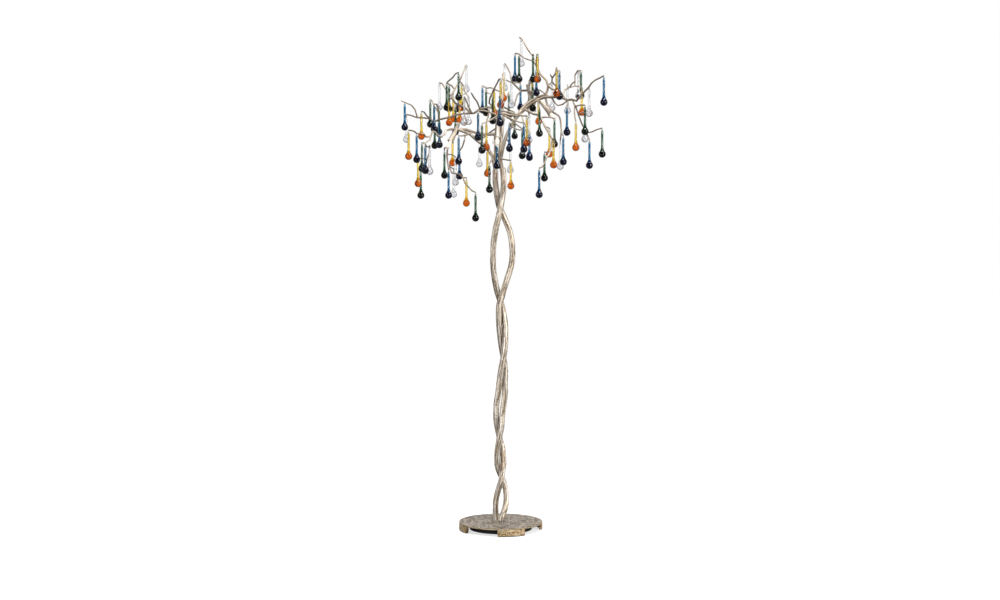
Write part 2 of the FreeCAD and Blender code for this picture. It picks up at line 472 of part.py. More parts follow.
# Each rod is (diameter at its root, diameter at its tip, points). A point is across, deep, up,
# and the colour of the drop that hangs there, if there is one.
CROWN = {
    "limb_left": [
        (14, 11, [(-19, 0, 1278), (-21, -2, 1300), (-28, -4, 1340), (-50, -6, 1376),
                  (-82, -6, 1397), (-111, -5, 1423), (-158, -4, 1441)]),
        (11, 9, [(-17, 0, 1423), (-57, 6, 1421), (-86, 9, 1426), (-122, 10, 1438),
                 (-154, 0, 1442)]),
        (7, 5, [(-111, -5, 1423), (-128, -30, 1419), (-140, -48, 1416), (-152, -66, 1417, BLUE)]),
        (6, 5, [(-128, -30, 1419), (-131, -32, 1400), (-138, -18, 1378), (-149, 2, 1362, BLUE)]),
        (7, 5, [(-50, -6, 1376), (-50, -30, 1374), (-48, -54, 1373, AMBER)]),
        (6, 5, [(-50, -24, 1374), (-35, -38, 1352), (-32, -62, 1332),
                (-41, -92, 1316, GREEN, SWINGS)]),
    ],
    "limb_right": [
        (14, 10, [(8, 0, 1278), (3, 0, 1305), (-1, 0, 1329), (3, -2, 1351), (8, -6, 1376),
                  (16, -10, 1405), (26, -14, 1430), (40, -14, 1455), (55, -14, 1480),
                  (76, -14, 1502), (102, -16, 1527), (130, -20, 1545), (159, -22, 1556)]),
        (11, 9, [(58, -12, 1486), (72, 2, 1508), (87, 10, 1527), (105, 14, 1541),
                 (130, 14, 1554), (163, -4, 1566)]),
        (6, 5, [(40, -14, 1450), (56, -40, 1440), (68, -70, 1437), (77, -98, 1438, GREEN)]),
        (6, 5, [(38, -16, 1452), (34, -38, 1462), (31, -58, 1463, BLUE)]),
        (6, 5, [(72, -14, 1498), (80, -36, 1472), (92, -60, 1446), (103, -80, 1431, BLUE)]),
        (6, 5, [(16, -10, 1408), (26, 10, 1399), (33, 30, 1387), (34, 48, 1384, CLEAR)]),
        (6, 5, [(1, -4, 1333), (10, -22, 1332), (24, -40, 1329), (36, -54, 1328, AMBER, SWINGS)]),
        (6, 5, [(132, -20, 1545), (137, -48, 1530), (139, -66, 1520), (139, -86, 1518, GREEN)]),
        (6, 5, [(134, 14, 1556), (136, 30, 1559), (136, 48, 1558, AMBER)]),
        (6, 5, [(96, -14, 1520), (100, 10, 1500), (102, 38, 1492, CLEAR)]),
    ],
    "limb_centre": [
        (13, 8, [(-12, 0, 1300), (-17, 0, 1340), (-19, 0, 1383), (-17, 0, 1423), (-14, 2, 1466),
                 (-6, 4, 1498), (2, 10, 1530), (6, 22, 1560), (6, 40, 1588), (8, 60, 1620),
                 (9, 76, 1638), (10, 94, 1642, AMBER)]),
        (6, 5, [(-18, 0, 1404), (-20, 18, 1413), (-21, 38, 1416, AMBER)]),
        (7, 5, [(6, 26, 1566), (-4, 46, 1576), (-21, 66, 1583), (-36, 88, 1590),
                (-53, 110, 1588, GREEN), (-60, 124, 1594), (-66, 138, 1597, BLUE)]),
        (5, 4.4, [(-21, 66, 1582), (-32, 58, 1566), (-45, 64, 1570), (-56, 76, 1578)]),
        (7, 5, [(-6, 2, 1500), (-24, -14, 1518), (-42, -40, 1534), (-40, -62, 1550),
                (-26, -98, 1582), (-12, -122, 1608), (-7, -138, 1620), (-1, -154, 1622, AMBER)]),
        (5, 5, [(-26, -96, 1582), (-24, -72, 1587, AMBER)]),
        (5, 5, [(-36, -74, 1562), (-32, -90, 1564), (-29, -108, 1564, GREEN)]),
    ],
    "limb_front": [
        (13, 9, [(-8, -4, 1300), (-10, -12, 1330), (-16, -30, 1370), (-15, -70, 1412),
                 (-12, -118, 1455), (-8, -160, 1490), (-4, -205, 1515)]),
        (8, 5, [(-5, -198, 1511), (-2, -238, 1537), (-5, -275, 1556),
                (-3, -308, 1561, BLUE, SWINGS)]),
        (7, 5, [(-5, -188, 1506), (30, -218, 1502), (62, -246, 1492), (84, -260, 1488),
                (94, -276, 1489, AMBER)]),
        (7, 5, [(-8, -160, 1490), (-30, -188, 1478), (-52, -212, 1466), (-68, -234, 1461, GREEN)]),
        (7, 5, [(-6, -178, 1500), (24, -192, 1484), (52, -206, 1471), (74, -218, 1464),
                (83, -232, 1464, BLUE)]),
        (7, 5, [(-9, -156, 1487), (-36, -172, 1500), (-62, -184, 1507), (-82, -204, 1507, BLUE)]),
        (6, 5, [(-15, -72, 1414), (-14, -86, 1405), (-14, -98, 1402, BLUE)]),
    ],
    "limb_back": [
        (13, 9, [(-4, 4, 1300), (-4, 14, 1330), (-2, 34, 1372), (4, 72, 1420), (8, 118, 1462),
                 (10, 165, 1498), (8, 208, 1523)]),
        (7, 5, [(8, 208, 1523), (18, 240, 1548), (28, 270, 1570), (29, 298, 1574, GREEN)]),
        (7, 5, [(8, 206, 1522), (30, 230, 1510), (46, 256, 1503), (50, 284, 1501, GREEN)]),
        (7, 5, [(8, 118, 1462), (-14, 150, 1446), (-46, 184, 1424), (-68, 206, 1405),
                (-77, 226, 1402, CLEAR)]),
        (7, 5, [(10, 165, 1498), (40, 190, 1470), (72, 212, 1446), (94, 228, 1433),
                (103, 246, 1431, BLUE)]),
    ],
    "branch_left_long": [
        (9, 5.5, [(60, -14, 1488), (33, -26, 1491), (8, -30, 1497), (-39, -22, 1520),
                  (-75, -10, 1513), (-96, 0, 1498), (-147, 20, 1495), (-190, 35, 1482),
                  (-221, 48, 1475, BLUE), (-240, 60, 1467), (-255, 70, 1478), (-276, 85, 1481),
                  (-302, 95, 1482), (-323, 102, 1490), (-340, 110, 1493, CLEAR)]),
        (6, 5, [(-300, 95, 1482), (-309, 86, 1511), (-323, 76, 1528),
                (-346, 68, 1537, BLUE, SWINGS), (-358, 64, 1543)]),
        (6, 5, [(-255, 70, 1478), (-268, 50, 1490), (-276, 36, 1502),
                (-286, 22, 1505, AMBER, SWINGS)]),
        (5, 5, [(-236, 58, 1469), (-238, 76, 1471), (-238, 94, 1470, GREEN)]),
        (6, 5, [(-221, 48, 1475), (-225, 38, 1498), (-226, 32, 1520), (-232, 26, 1530),
                (-240, 12, 1531, BLUE)]),
        (5, 5, [(-226, 32, 1518), (-224, 56, 1522), (-223, 80, 1520, GREEN)]),
        (5, 5, [(-225, 38, 1502), (-240, 52, 1522), (-247, 68, 1542), (-254, 84, 1547, GREEN)]),
        (6, 5, [(-75, -10, 1513), (-86, -40, 1540), (-96, -60, 1553), (-107, -80, 1572)]),
        (6, 5, [(-104, 2, 1498), (-116, -8, 1522), (-127, -18, 1548), (-132, -32, 1557, CLEAR)]),
        (6, 5, [(-39, -22, 1520), (-42, -40, 1504), (-46, -62, 1484), (-52, -82, 1468, AMBER)]),
    ],
    "branch_left_low": [
        (9, 5.5, [(-154, -4, 1440), (-180, -20, 1440), (-197, -34, 1437), (-203, -44, 1423),
                  (-214, -54, 1413), (-226, -62, 1415), (-237, -70, 1430), (-246, -76, 1432),
                  (-252, -84, 1415), (-269, -96, 1412), (-277, -104, 1423),
                  (-303, -108, 1425, BLUE, SWINGS), (-314, -130, 1434),
                  (-332, -152, 1437, AMBER, SWINGS)]),
        (6, 5, [(-252, -84, 1415), (-256, -94, 1402), (-274, -108, 1390), (-284, -132, 1392, GREEN)]),
        (5, 5, [(-274, -108, 1390), (-273, -138, 1387), (-272, -168, 1386, BLUE)]),
        (6, 5, [(-274, -108, 1390), (-268, -88, 1378), (-257, -74, 1376), (-257, -66, 1358),
                (-266, -62, 1333), (-282, -66, 1335), (-298, -76, 1337, AMBER)]),
        (5, 5, [(-258, -75, 1376), (-256, -88, 1381), (-256, -100, 1382, CLEAR)]),
        (5, 5, [(-266, -62, 1333), (-270, -56, 1308), (-278, -48, 1295),
                (-288, -38, 1294, GREEN, SWINGS)]),
    ],
    "branch_left_down": [
        (8, 5.5, [(-154, -2, 1442), (-166, 14, 1424), (-182, 22, 1396), (-192, 16, 1368),
                  (-194, 8, 1345), (-191, 0, 1318), (-188, -8, 1299),
                  (-188, -24, 1294, BLUE, SWINGS)]),
        (5, 5, [(-191, 18, 1371), (-203, 30, 1374), (-203, 46, 1364, GREEN)]),
        (5, 5, [(-178, 20, 1404), (-175, 36, 1409), (-174, 52, 1409, AMBER)]),
        (6, 5, [(-190, 0, 1312), (-176, -12, 1283), (-150, -24, 1278), (-136, -32, 1266),
                (-129, -48, 1245), (-118, -62, 1234), (-104, -74, 1219),
                (-91, -86, 1213, GREEN, SWINGS)]),
        (5, 5, [(-137, -31, 1267), (-131, -26, 1266), (-124, -16, 1265, AMBER, SWINGS)]),
        (5, 5, [(-190, 2, 1314), (-180, 26, 1303), (-171, 52, 1298), (-170, 68, 1296, CLEAR)]),
        (5, 5, [(-194, 8, 1348), (-178, 24, 1350), (-163, 36, 1340, CLEAR)]),
    ],
    "branch_left_top": [
        (9, 5, [(-108, 3, 1497), (-124, 30, 1514), (-140, 52, 1524), (-160, 72, 1530),
                (-174, 92, 1548), (-178, 108, 1560), (-166, 128, 1584), (-154, 146, 1604),
                (-146, 158, 1618), (-140, 168, 1634), (-132, 180, 1654), (-127, 194, 1668),
                (-124, 208, 1671, CLEAR)]),
        (5, 5, [(-160, 72, 1530), (-163, 52, 1520, GREEN)]),
        (5, 5, [(-178, 108, 1560), (-174, 122, 1565), (-171, 136, 1565, AMBER)]),
        (6, 5, [(-178, 108, 1560), (-190, 118, 1572), (-203, 130, 1592), (-210, 138, 1604),
                (-221, 152, 1608, CLEAR)]),
        (5, 5, [(-174, 92, 1549), (-186, 78, 1553, AMBER)]),
        (6, 5, [(-166, 128, 1584), (-178, 122, 1598), (-195, 110, 1607, GREEN), (-187, 96, 1615),
                (-173, 82, 1626), (-163, 70, 1640), (-152, 56, 1645, GREEN)]),
        (5, 5, [(-178, 122, 1597), (-182, 140, 1601), (-186, 156, 1601, GREEN)]),
        (6, 5, [(-149, 154, 1612), (-141, 132, 1606, AMBER), (-132, 112, 1594),
                (-126, 102, 1570), (-116, 88, 1557, CLEAR)]),
        (5, 5, [(-154, 148, 1605), (-153, 162, 1603), (-152, 176, 1600, BLUE)]),
        (5, 5, [(-126, 104, 1570), (-138, 98, 1564), (-148, 94, 1562, AMBER)]),
    ],
    "branch_right_back": [
        (9, 5, [(105, 14, 1541), (102, 48, 1562), (98, 78, 1580), (73, 104, 1579),
                (58, 120, 1592), (44, 138, 1607), (37, 156, 1622), (35, 174, 1641),
                (24, 192, 1661), (18, 208, 1674), (14, 224, 1676, CLEAR)]),
        (5, 5, [(44, 138, 1606), (30, 150, 1612), (19, 160, 1618)]),
        (5, 5, [(44, 138, 1607), (41, 124, 1616), (38, 110, 1617, CLEAR)]),
        (5, 5, [(44, 138, 1606), (58, 152, 1608), (71, 166, 1606, BLUE)]),
        (6, 5, [(98, 78, 1580), (102, 92, 1601), (108, 110, 1621), (113, 128, 1626, AMBER),
                (108, 146, 1618), (102, 162, 1615, GREEN)]),
        (5, 5, [(102, 92, 1601), (108, 58, 1608), (115, 30, 1606, GREEN)]),
        (6, 5, [(104, 32, 1552), (110, 70, 1570), (124, 92, 1583), (142, 110, 1581),
                (160, 126, 1567), (174, 140, 1558)]),
        (6, 5, [(73, 104, 1579), (59, 86, 1562), (52, 74, 1540), (51, 66, 1526)]),
    ],
    "branch_right_top": [
        (9, 5, [(161, -6, 1562), (168, -4, 1580), (170, -2, 1597), (163, 4, 1617),
                (142, 14, 1639), (130, 26, 1663), (122, 34, 1685), (114, 42, 1707),
                (100, 52, 1724), (90, 58, 1740), (82, 66, 1757), (74, 78, 1767, CLEAR),
                (67, 88, 1770)]),
        (6, 5, [(126, 30, 1676), (112, 32, 1687), (86, 34, 1696), (66, 38, 1711, GREEN),
                (57, 51, 1713), (51, 66, 1712, BLUE)]),
        (6, 5, [(129, 27, 1666), (128, 12, 1690), (130, -6, 1708), (133, -20, 1711, AMBER)]),
        (5, 5, [(116, 40, 1703), (116, 28, 1711), (116, 14, 1711, GREEN)]),
        (5, 5, [(130, 26, 1663), (129, 40, 1663), (128, 56, 1661, BLUE)]),
        (7, 5, [(170, -2, 1596), (184, -26, 1584), (206, -48, 1579), (220, -62, 1571),
                (230, -84, 1554)]),
        (6, 5, [(206, -48, 1580), (198, -66, 1596), (184, -80, 1611), (185, -96, 1625),
                (178, -110, 1637)]),
        (6, 5, [(185, -96, 1624), (197, -112, 1641), (200, -132, 1659), (201, -152, 1663, AMBER)]),
        (5, 5, [(198, -114, 1642), (205, -110, 1650), (211, -98, 1651, BLUE)]),
        (5, 5, [(169, -3, 1594), (178, 10, 1605), (184, 24, 1608, CLEAR)]),
    ],
    "branch_right_long": [
        (10, 5, [(155, -22, 1556), (184, -44, 1556), (206, -64, 1556), (226, -84, 1551),
                 (240, -98, 1545), (256, -112, 1547), (273, -126, 1542), (283, -136, 1556),
                 (302, -148, 1576), (318, -160, 1593, CLEAR), (327, -170, 1607),
                 (340, -180, 1617), (357, -192, 1625), (371, -206, 1633, BLUE, SWINGS)]),
        (6, 5, [(220, -78, 1552), (231, -58, 1582), (249, -42, 1591), (267, -32, 1596),
                (292, -22, 1592, AMBER)]),
        (5, 5, [(267, -32, 1596), (267, -14, 1634), (276, -2, 1649), (289, 10, 1652, GREEN)]),
        (5, 5, [(267, -14, 1634), (276, -26, 1650), (280, -40, 1652, CLEAR)]),
        (5, 5, [(247, -43, 1590), (256, -58, 1604), (268, -70, 1613)]),
        (5, 5, [(243, -47, 1588), (241, -36, 1597), (240, -20, 1599, CLEAR)]),
        (5, 5, [(241, -99, 1545), (242, -116, 1530), (238, -134, 1523, BLUE)]),
        (6, 5, [(258, -113, 1546), (266, -128, 1524), (265, -142, 1502), (268, -154, 1480),
                (270, -168, 1469, AMBER, SWINGS)]),
        (5, 5, [(267, -129, 1522), (286, -156, 1527), (303, -184, 1527, GREEN)]),
        (6, 5, [(268, -127, 1528), (280, -114, 1491), (291, -104, 1462), (300, -96, 1444),
                (310, -88, 1427), (315, -82, 1410), (319, -96, 1403, BLUE, SWINGS)]),
        (5, 5, [(280, -114, 1493), (292, -120, 1500), (303, -122, 1499, CLEAR)]),
        (5, 5, [(310, -88, 1427), (330, -98, 1431), (346, -108, 1439),
                (365, -120, 1444, GREEN, SWINGS)]),
        (6, 5, [(184, -44, 1553), (195, -28, 1534), (206, -24, 1525), (224, -52, 1530),
                (239, -95, 1543)]),
    ],
    "branch_right_low": [
        (9, 5, [(86, -14, 1512), (102, -26, 1504), (116, -38, 1496), (134, -50, 1492),
                (145, -62, 1482), (150, -72, 1470), (160, -88, 1448), (177, -106, 1420),
                (186, -118, 1404), (181, -134, 1376), (174, -148, 1350), (164, -160, 1336),
                (156, -168, 1316), (147, -178, 1303), (138, -192, 1300, BLUE, SWINGS)]),
        (5, 5, [(174, -148, 1351), (166, -136, 1357), (157, -122, 1358, GREEN, SWINGS)]),
        (5, 5, [(186, -118, 1404), (190, -134, 1408), (190, -152, 1406, AMBER)]),
        (5, 5, [(160, -88, 1448), (170, -74, 1446), (175, -58, 1443, AMBER)]),
        (6, 5, [(145, -62, 1482), (162, -74, 1484), (178, -84, 1483), (193, -96, 1479, GREEN)]),
    ],
    "branch_right_front": [
        (8, 5, [(160, -22, 1554), (168, -28, 1526), (184, -38, 1503), (198, -50, 1496),
                (210, -62, 1487), (215, -70, 1473), (217, -80, 1448), (220, -92, 1424),
                (225, -110, 1416, BLUE, SWINGS)]),
        (5, 5, [(218, -84, 1438), (216, -70, 1412), (214, -54, 1399, CLEAR)]),
    ],
}
TIP_LENGTH = 0.7                   # a cut end is rounded over this part of its radius
TIP_WAIST = 0.45


def rod(root_diameter, tip_diameter, line):
    points = [seen(*point[:3]) for point in line]
    count = len(points)
    radii = []
    for index in range(count):
        share = index / (count - 1)
        radii.append((root_diameter + (tip_diameter - root_diameter) * share) / 2)
    heading = (points[-1] - points[-2]).normalize()
    points.append(points[-1] + heading * radii[-1] * TIP_LENGTH)
    radii.append(radii[-1] * TIP_WAIST)
    return tube_along(points, radii), points[:count], radii[:count]


hang_points = []
for label, rods in CROWN.items():
    shapes = []
    for root_diameter, tip_diameter, line in rods:
        shape, points, radii = rod(root_diameter, tip_diameter, line)
        shapes.append(shape)
        for point, radius, entry in zip(points, radii, line):
            if len(entry) > 3:
                hang_points.append((point, radius, entry[3], len(entry) > 4))
    solid_feature(label, shapes[0].fuse(shapes[1:]))

# ---------------------------------------------------------------------------------------------
# Glass drops and the rings they hang from
# ---------------------------------------------------------------------------------------------

# The drop hangs from the origin: its eye runs along Y and is centred on the hinge line.
bead = doc.addObject("Part::Cylinder", "bead")
bind(bead, Radius="Sizes.bead_radius", Height="Sizes.bead_thickness",
     Placement__Base__y="Sizes.bead_thickness / 2")
bead.Placement.Rotation = Rotation(ACROSS, 90)
eye = doc.addObject("Part::Cylinder", "eye")
bind(eye, Radius="Sizes.eye_radius", Height="Sizes.bead_thickness * 3",
     Placement__Base__y="Sizes.bead_thickness * 1.5")
eye.Placement.Rotation = Rotation(ACROSS, 90)
neck = cylinder("neck", "Sizes.neck_radius", "Sizes.flare_start - Sizes.neck_drop",
                "-Sizes.flare_start")
flare_end = "sqrt(pow(Sizes.ball_radius; 2) - pow(Sizes.flare_radius; 2))"
flare = cone("flare", "Sizes.flare_radius", "Sizes.neck_radius",
             "Sizes.ball_drop - Sizes.flare_start - %s" % flare_end,
             "-Sizes.ball_drop + %s" % flare_end)
ball = doc.addObject("Part::Sphere", "ball")
bind(ball, Radius="Sizes.ball_radius", Placement__Base__z="-Sizes.ball_drop")
drop_master = cut("drop_master", fused("drop_glass", [bead, neck, flare, ball]), eye)

# The ring that a drop hangs from: the hinge line runs through the lowest point of its wire.
ring_master = doc.addObject("Part::Torus", "ring_master")
bind(ring_master, Radius1="Sizes.ring_radius", Radius2="Sizes.ring_wire",
     Placement__Base__z="Sizes.ring_radius")
ring_master.Placement.Rotation = Rotation(UP, ACROSS)

TURN_STEP = 137.5                  # still drops face all ways, one turned on from the next
ring_places = []
still_places = {BLUE: [], GREEN: [], AMBER: [], CLEAR: []}
swing_count = {BLUE: 0, GREEN: 0, AMBER: 0, CLEAR: 0}
for number, (point, radius, colour, swings) in enumerate(hang_points):
    ring_top = point.z - radius + size("ring_sink")
    hinge = Vector(point.x, point.y, ring_top - 2 * size("ring_radius"))
    facing = 0.0 if swings else number * TURN_STEP
    place = Placement(hinge, Rotation(UP, facing))
    ring_places.append(place)
    if swings:
        swing_count[colour] += 1
        label = "drop_%s_%d" % (colour, swing_count[colour])
        copies(label, drop_master, [place])
        print("hinge", label, [round(value, 2) for value in hinge])
    else:
        still_places[colour].append(place)
copies("hanging_rings", ring_master, ring_places)
for colour, places in still_places.items():
    copies("drops_" + colour, drop_master, places)

# ---------------------------------------------------------------------------------------------
# Lamps
# ---------------------------------------------------------------------------------------------

# Each lamp is a cup on the end of a limb: where its closed end sits, and where its mouth points.
LAMPS = {
    "left": ((-158, -4, 1443), (-190, -22, 1373)),
    "right": ((150, -30, 1530), (186, -62, 1488)),
    "front": ((-12, -116, 1456), (-13, -140, 1400)),
    "rear": ((5, 112, 1460), (-18, 142, 1408)),
    "rear_right": ((99, 74, 1580), (116, 96, 1524)),
}

SOCKET_TOP = "Sizes.socket_floor + Sizes.socket_length"
PIN_RISE = 0.5                     # how far a pin reaches into the bulb's foot
BULB_FLOOR = SOCKET_TOP + " + Sizes.bulb_lift"

cup_skin = cone("cup_skin", "Sizes.cup_root", "Sizes.cup_mouth", "Sizes.cup_length")
cup_hollow = fused("cup_hollow", [
    cylinder("cup_bore", "Sizes.socket_radius", "Sizes.socket_length", "Sizes.socket_floor"),
    cone("cup_flare", "Sizes.socket_radius", "Sizes.cup_lip",
         "Sizes.cup_length - Sizes.socket_floor - Sizes.socket_length", SOCKET_TOP),
])
cup_master = cut("cup_master", cup_skin, cup_hollow)

socket_blank = cylinder("socket_blank", "Sizes.socket_radius", "Sizes.socket_length",
                        "Sizes.socket_floor")
pin_holes = []
pins = []
for side in SIDES:
    hole = cylinder("pin_hole_%d" % (side + 1), "Sizes.pin_hole", "Sizes.pin_length + 1",
                    SOCKET_TOP + " - Sizes.pin_length")
    pin = cylinder("pin_%d" % (side + 1), "Sizes.pin_radius", "Sizes.pin_length",
                   BULB_FLOOR + " - Sizes.pin_length + %s" % PIN_RISE)
    for item in (hole, pin):
        item.setExpression("Placement.Base.x", "%d * Sizes.pin_spread" % side)
    pin_holes.append(hole)
    pins.append(pin)
socket_master = cut("socket_master", socket_blank, fused("pin_holes", pin_holes))

dome = doc.addObject("Part::Sphere", "dome")
bind(dome, Radius="Sizes.bulb_radius",
     Placement__Base__z=BULB_FLOOR + " + Sizes.pinch_length + Sizes.bulb_length")
bulb_master = fused("bulb_master", pins + [
    dome,
    cylinder("pinch", "Sizes.pinch_radius", "Sizes.pinch_length", BULB_FLOOR),
    cylinder("capsule", "Sizes.bulb_radius", "Sizes.bulb_length",
             BULB_FLOOR + " + Sizes.pinch_length"),
])

lamp_places = []
for label, (root, aim) in LAMPS.items():
    start = seen(*root)
    direction = (seen(*aim) - start).normalize()
    place = Placement(start, Rotation(UP, direction))
    lamp_places.append(place)
    copies("bulb_" + label, bulb_master, [place])
    print("bulb", label, [round(value, 4) for value in direction])
copies("lamp_cups", cup_master, lamp_places)
copies("lamp_sockets", socket_master, lamp_places)

# ---------------------------------------------------------------------------------------------
# Checks and output
# ---------------------------------------------------------------------------------------------

doc.recompute()
for item in doc.Objects:
    if "Invalid" in item.State or "Error" in item.State:
        raise RuntimeError("%s could not be built: %s" % (item.Label, item.State))
for piece in pieces:
    if piece.Shape.isNull() or not piece.Shape.isValid():
        raise RuntimeError("%s has no valid shape" % piece.Label)
labels = [piece.Label for piece in pieces]
if len(set(labels)) != len(labels):
    raise RuntimeError("two sub-parts share a name")

os.makedirs("parts", exist_ok=True)
for piece in pieces:
    piece.Shape.exportStep("parts/%s.step" % piece.Label)
    print(piece.Label, len(piece.Shape.Solids), "solids", round(piece.Shape.Volume / 1000, 2), "cm3")
print(len(pieces), "sub-parts", len(hang_points), "drops")
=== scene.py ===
# %% [markdown]
# # A floor lamp shaped like a small tree
#
# Two bent metal stems wind round each other up to a crown of kinked twigs. Glass drops in four
# colours hang from small rings under the twigs, and capsule bulbs sit in tapered cups between
# them. The lamp stands on a round pitted base with four segment feet.
#
# The construction comes packed, in metres, and stays where it is. This script gives each piece
# its surface: worn metal with lengthwise grooves, cast feet, and glass that is pale where it is
# thin and nearly black where it is thick.

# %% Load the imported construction
import json
import math

import bmesh
import bpy
import numpy as np
from mathutils import Matrix, Vector


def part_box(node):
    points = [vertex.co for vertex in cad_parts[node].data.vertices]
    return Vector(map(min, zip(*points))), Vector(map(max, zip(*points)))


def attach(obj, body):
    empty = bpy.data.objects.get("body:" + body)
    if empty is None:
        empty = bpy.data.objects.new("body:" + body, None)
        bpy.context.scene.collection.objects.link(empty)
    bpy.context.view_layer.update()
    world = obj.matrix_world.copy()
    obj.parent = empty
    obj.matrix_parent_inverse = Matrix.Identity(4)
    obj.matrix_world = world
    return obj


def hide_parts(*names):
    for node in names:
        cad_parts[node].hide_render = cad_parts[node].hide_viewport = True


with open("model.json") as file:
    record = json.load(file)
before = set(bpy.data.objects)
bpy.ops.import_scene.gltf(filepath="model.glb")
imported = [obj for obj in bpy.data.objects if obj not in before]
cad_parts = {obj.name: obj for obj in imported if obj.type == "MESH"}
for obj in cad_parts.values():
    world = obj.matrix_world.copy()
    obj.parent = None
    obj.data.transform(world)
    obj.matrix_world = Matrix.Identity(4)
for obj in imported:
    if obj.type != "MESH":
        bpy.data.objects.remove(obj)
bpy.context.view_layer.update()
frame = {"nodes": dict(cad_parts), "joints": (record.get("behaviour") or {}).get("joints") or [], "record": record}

nodes = frame["nodes"]
MM = 0.001
scene = bpy.context.scene

# %% [markdown]
# ## Camera
#
# The lamp is seen from the front, by a level camera at about half its height. A lamp this tall
# shows both its base from above and its crown from below, so the camera's height decides how
# open the base's oval looks. The distance and the lens are kept together as one picture scale.

# %% Camera
PICTURE_WIDTH = 1000               # pixels
SENSOR_WIDTH = 36.0                # millimetres
SIGHT_DISTANCE = 4.3               # metres from the lens to the lamp's axis
SIGHT_HEIGHT = 0.825
SIGHT_ASIDE = -0.0029              # the lamp stands a hair to the right of the picture's middle
PIXELS_PER_RADIAN = 1194.0         # the picture's scale at its middle

camera_data = bpy.data.cameras.new("front_view")
camera_data.sensor_width = SENSOR_WIDTH
camera_data.lens = SENSOR_WIDTH * PIXELS_PER_RADIAN / PICTURE_WIDTH
camera = bpy.data.objects.new("front_view", camera_data)
camera.location = (SIGHT_ASIDE, -SIGHT_DISTANCE, SIGHT_HEIGHT)
camera.rotation_euler = (math.pi / 2, 0, 0)
scene.collection.objects.link(camera)
scene.camera = camera
scene.view_settings.view_transform = "Standard"
print("lens", round(camera_data.lens, 1), "mm")

# %% [markdown]
# ## Node helpers
#
# Materials and Geometry Nodes trees are both graphs of nodes. One small function that makes a
# node, sets its options and fills its inputs keeps every graph below short: an input takes
# either a plain value or the output of an earlier node.

# %% Node helpers
def add(tree, kind, inputs=None, **options):
    """A node with its options and inputs set. An input is named, or numbered from 0."""
    node = tree.nodes.new(kind)
    for name, value in options.items():
        setattr(node, name, value)
    for key, value in (inputs or {}).items():
        if isinstance(value, bpy.types.NodeSocket):
            tree.links.new(value, node.inputs[key])
        else:
            node.inputs[key].default_value = value
    return node


def arithmetic(tree, operation, first, second=0.0):
    """One step of plain arithmetic on numbers."""
    return add(tree, "ShaderNodeMath", {0: first, 1: second}, operation=operation).outputs[0]


def vector_sum(tree, first, second):
    """Two vectors, added."""
    return add(tree, "ShaderNodeVectorMath", {0: first, 1: second}, operation="ADD").outputs[0]


def scaled(tree, vector, factor):
    """A vector made longer or shorter by a number."""
    node = add(tree, "ShaderNodeVectorMath", {0: vector, "Scale": factor}, operation="SCALE")
    return node.outputs[0]


def noise(tree, vector, scale, detail=2.0, roughness=0.5):
    """A smooth random number about 0.5, from a place."""
    node = add(tree, "ShaderNodeTexNoise", {"Vector": vector, "Scale": scale, "Detail": detail,
                                            "Roughness": roughness})
    return node.outputs[0]


def span(tree, value, low, high, out_low=0.0, out_high=1.0, smooth=False):
    """Stretch the range low..high of a number to out_low..out_high, and hold it there."""
    node = add(tree, "ShaderNodeMapRange", {0: value, 1: low, 2: high, 3: out_low, 4: out_high},
               interpolation_type="SMOOTHSTEP" if smooth else "LINEAR")
    return node.outputs[0]


def blend_colour(tree, share, first, second):
    """A colour between two: each is four numbers or an earlier output."""
    node = add(tree, "ShaderNodeMix", {0: share, 6: first, 7: second}, data_type="RGBA")
    return node.outputs[2]


def plain(red, green, blue):
    """A colour of a material, with full cover."""
    return (red, green, blue, 1.0)


def start_material(name):
    """An empty material: its tree and its output node."""
    material = bpy.data.materials.new(name)
    material.use_nodes = True
    material.node_tree.nodes.clear()
    output = material.node_tree.nodes.new("ShaderNodeOutputMaterial")
    return material, material.node_tree, output


def principled(tree, output, inputs):
    """A material's surface, from the inputs of one Principled shader."""
    shader = add(tree, "ShaderNodeBsdfPrincipled", inputs)
    tree.links.new(shader.outputs[0], output.inputs["Surface"])


def bumped(tree, height, strength, distance):
    """A normal that a pattern tilts. The distance in metres is how high the pattern's 1 stands."""
    node = add(tree, "ShaderNodeBump", {"Height": height, "Strength": strength,
                                        "Distance": distance})
    return node.outputs[0]


def object_place(tree):
    """Where a point of the piece is, in metres."""
    return tree.nodes.new("ShaderNodeTexCoord").outputs["Object"]


def kept_value(tree, name):
    """A number that was kept on the piece's points under this name."""
    return add(tree, "ShaderNodeAttribute", attribute_name=name).outputs["Fac"]


# %% [markdown]
# ## Light, floor and backdrop
#
# The lamp stands before a plain white backdrop, in a room that is darker at the sides and in
# front. The camera sees white everywhere. Light that bends through the glass or comes off gloss
# sees the real room instead, so thin glass gets its dark edges and the balls stay deep. What the
# room sheds on the metal comes mostly from above, which leaves the undersides brown. Two tall
# panels beside the camera give each ball its two small window shapes. The floor is lifted to
# white for the camera and for what is seen through glass, and keeps the lamp's shadow. Where
# gloss mirrors it, it is dark, or the lower half of every ball would shine.

# %% Backdrop and floor
BACKDROP_EDGE = (0.35, 0.92)       # how squarely behind the lamp the white backdrop begins, is full
ROOM_FRONT = 0.11                  # brightness of the room round the camera
SKY_LIGHT = 1.0                    # light that falls on the lamp from above
GROUND_LIGHT = 0.16                # and from below
SKY_EDGE = (-0.3, 0.9)             # how steeply down or up the one gives way to the other
FLOOR_GREY = 0.45
FLOOR_IN_GLOSS = 0.14              # how light the floor is where glass and metal mirror it
FLOOR_LIFT = 0.66                  # light of its own that the floor shows the camera
FLOOR_REACH = 60.0                 # metres


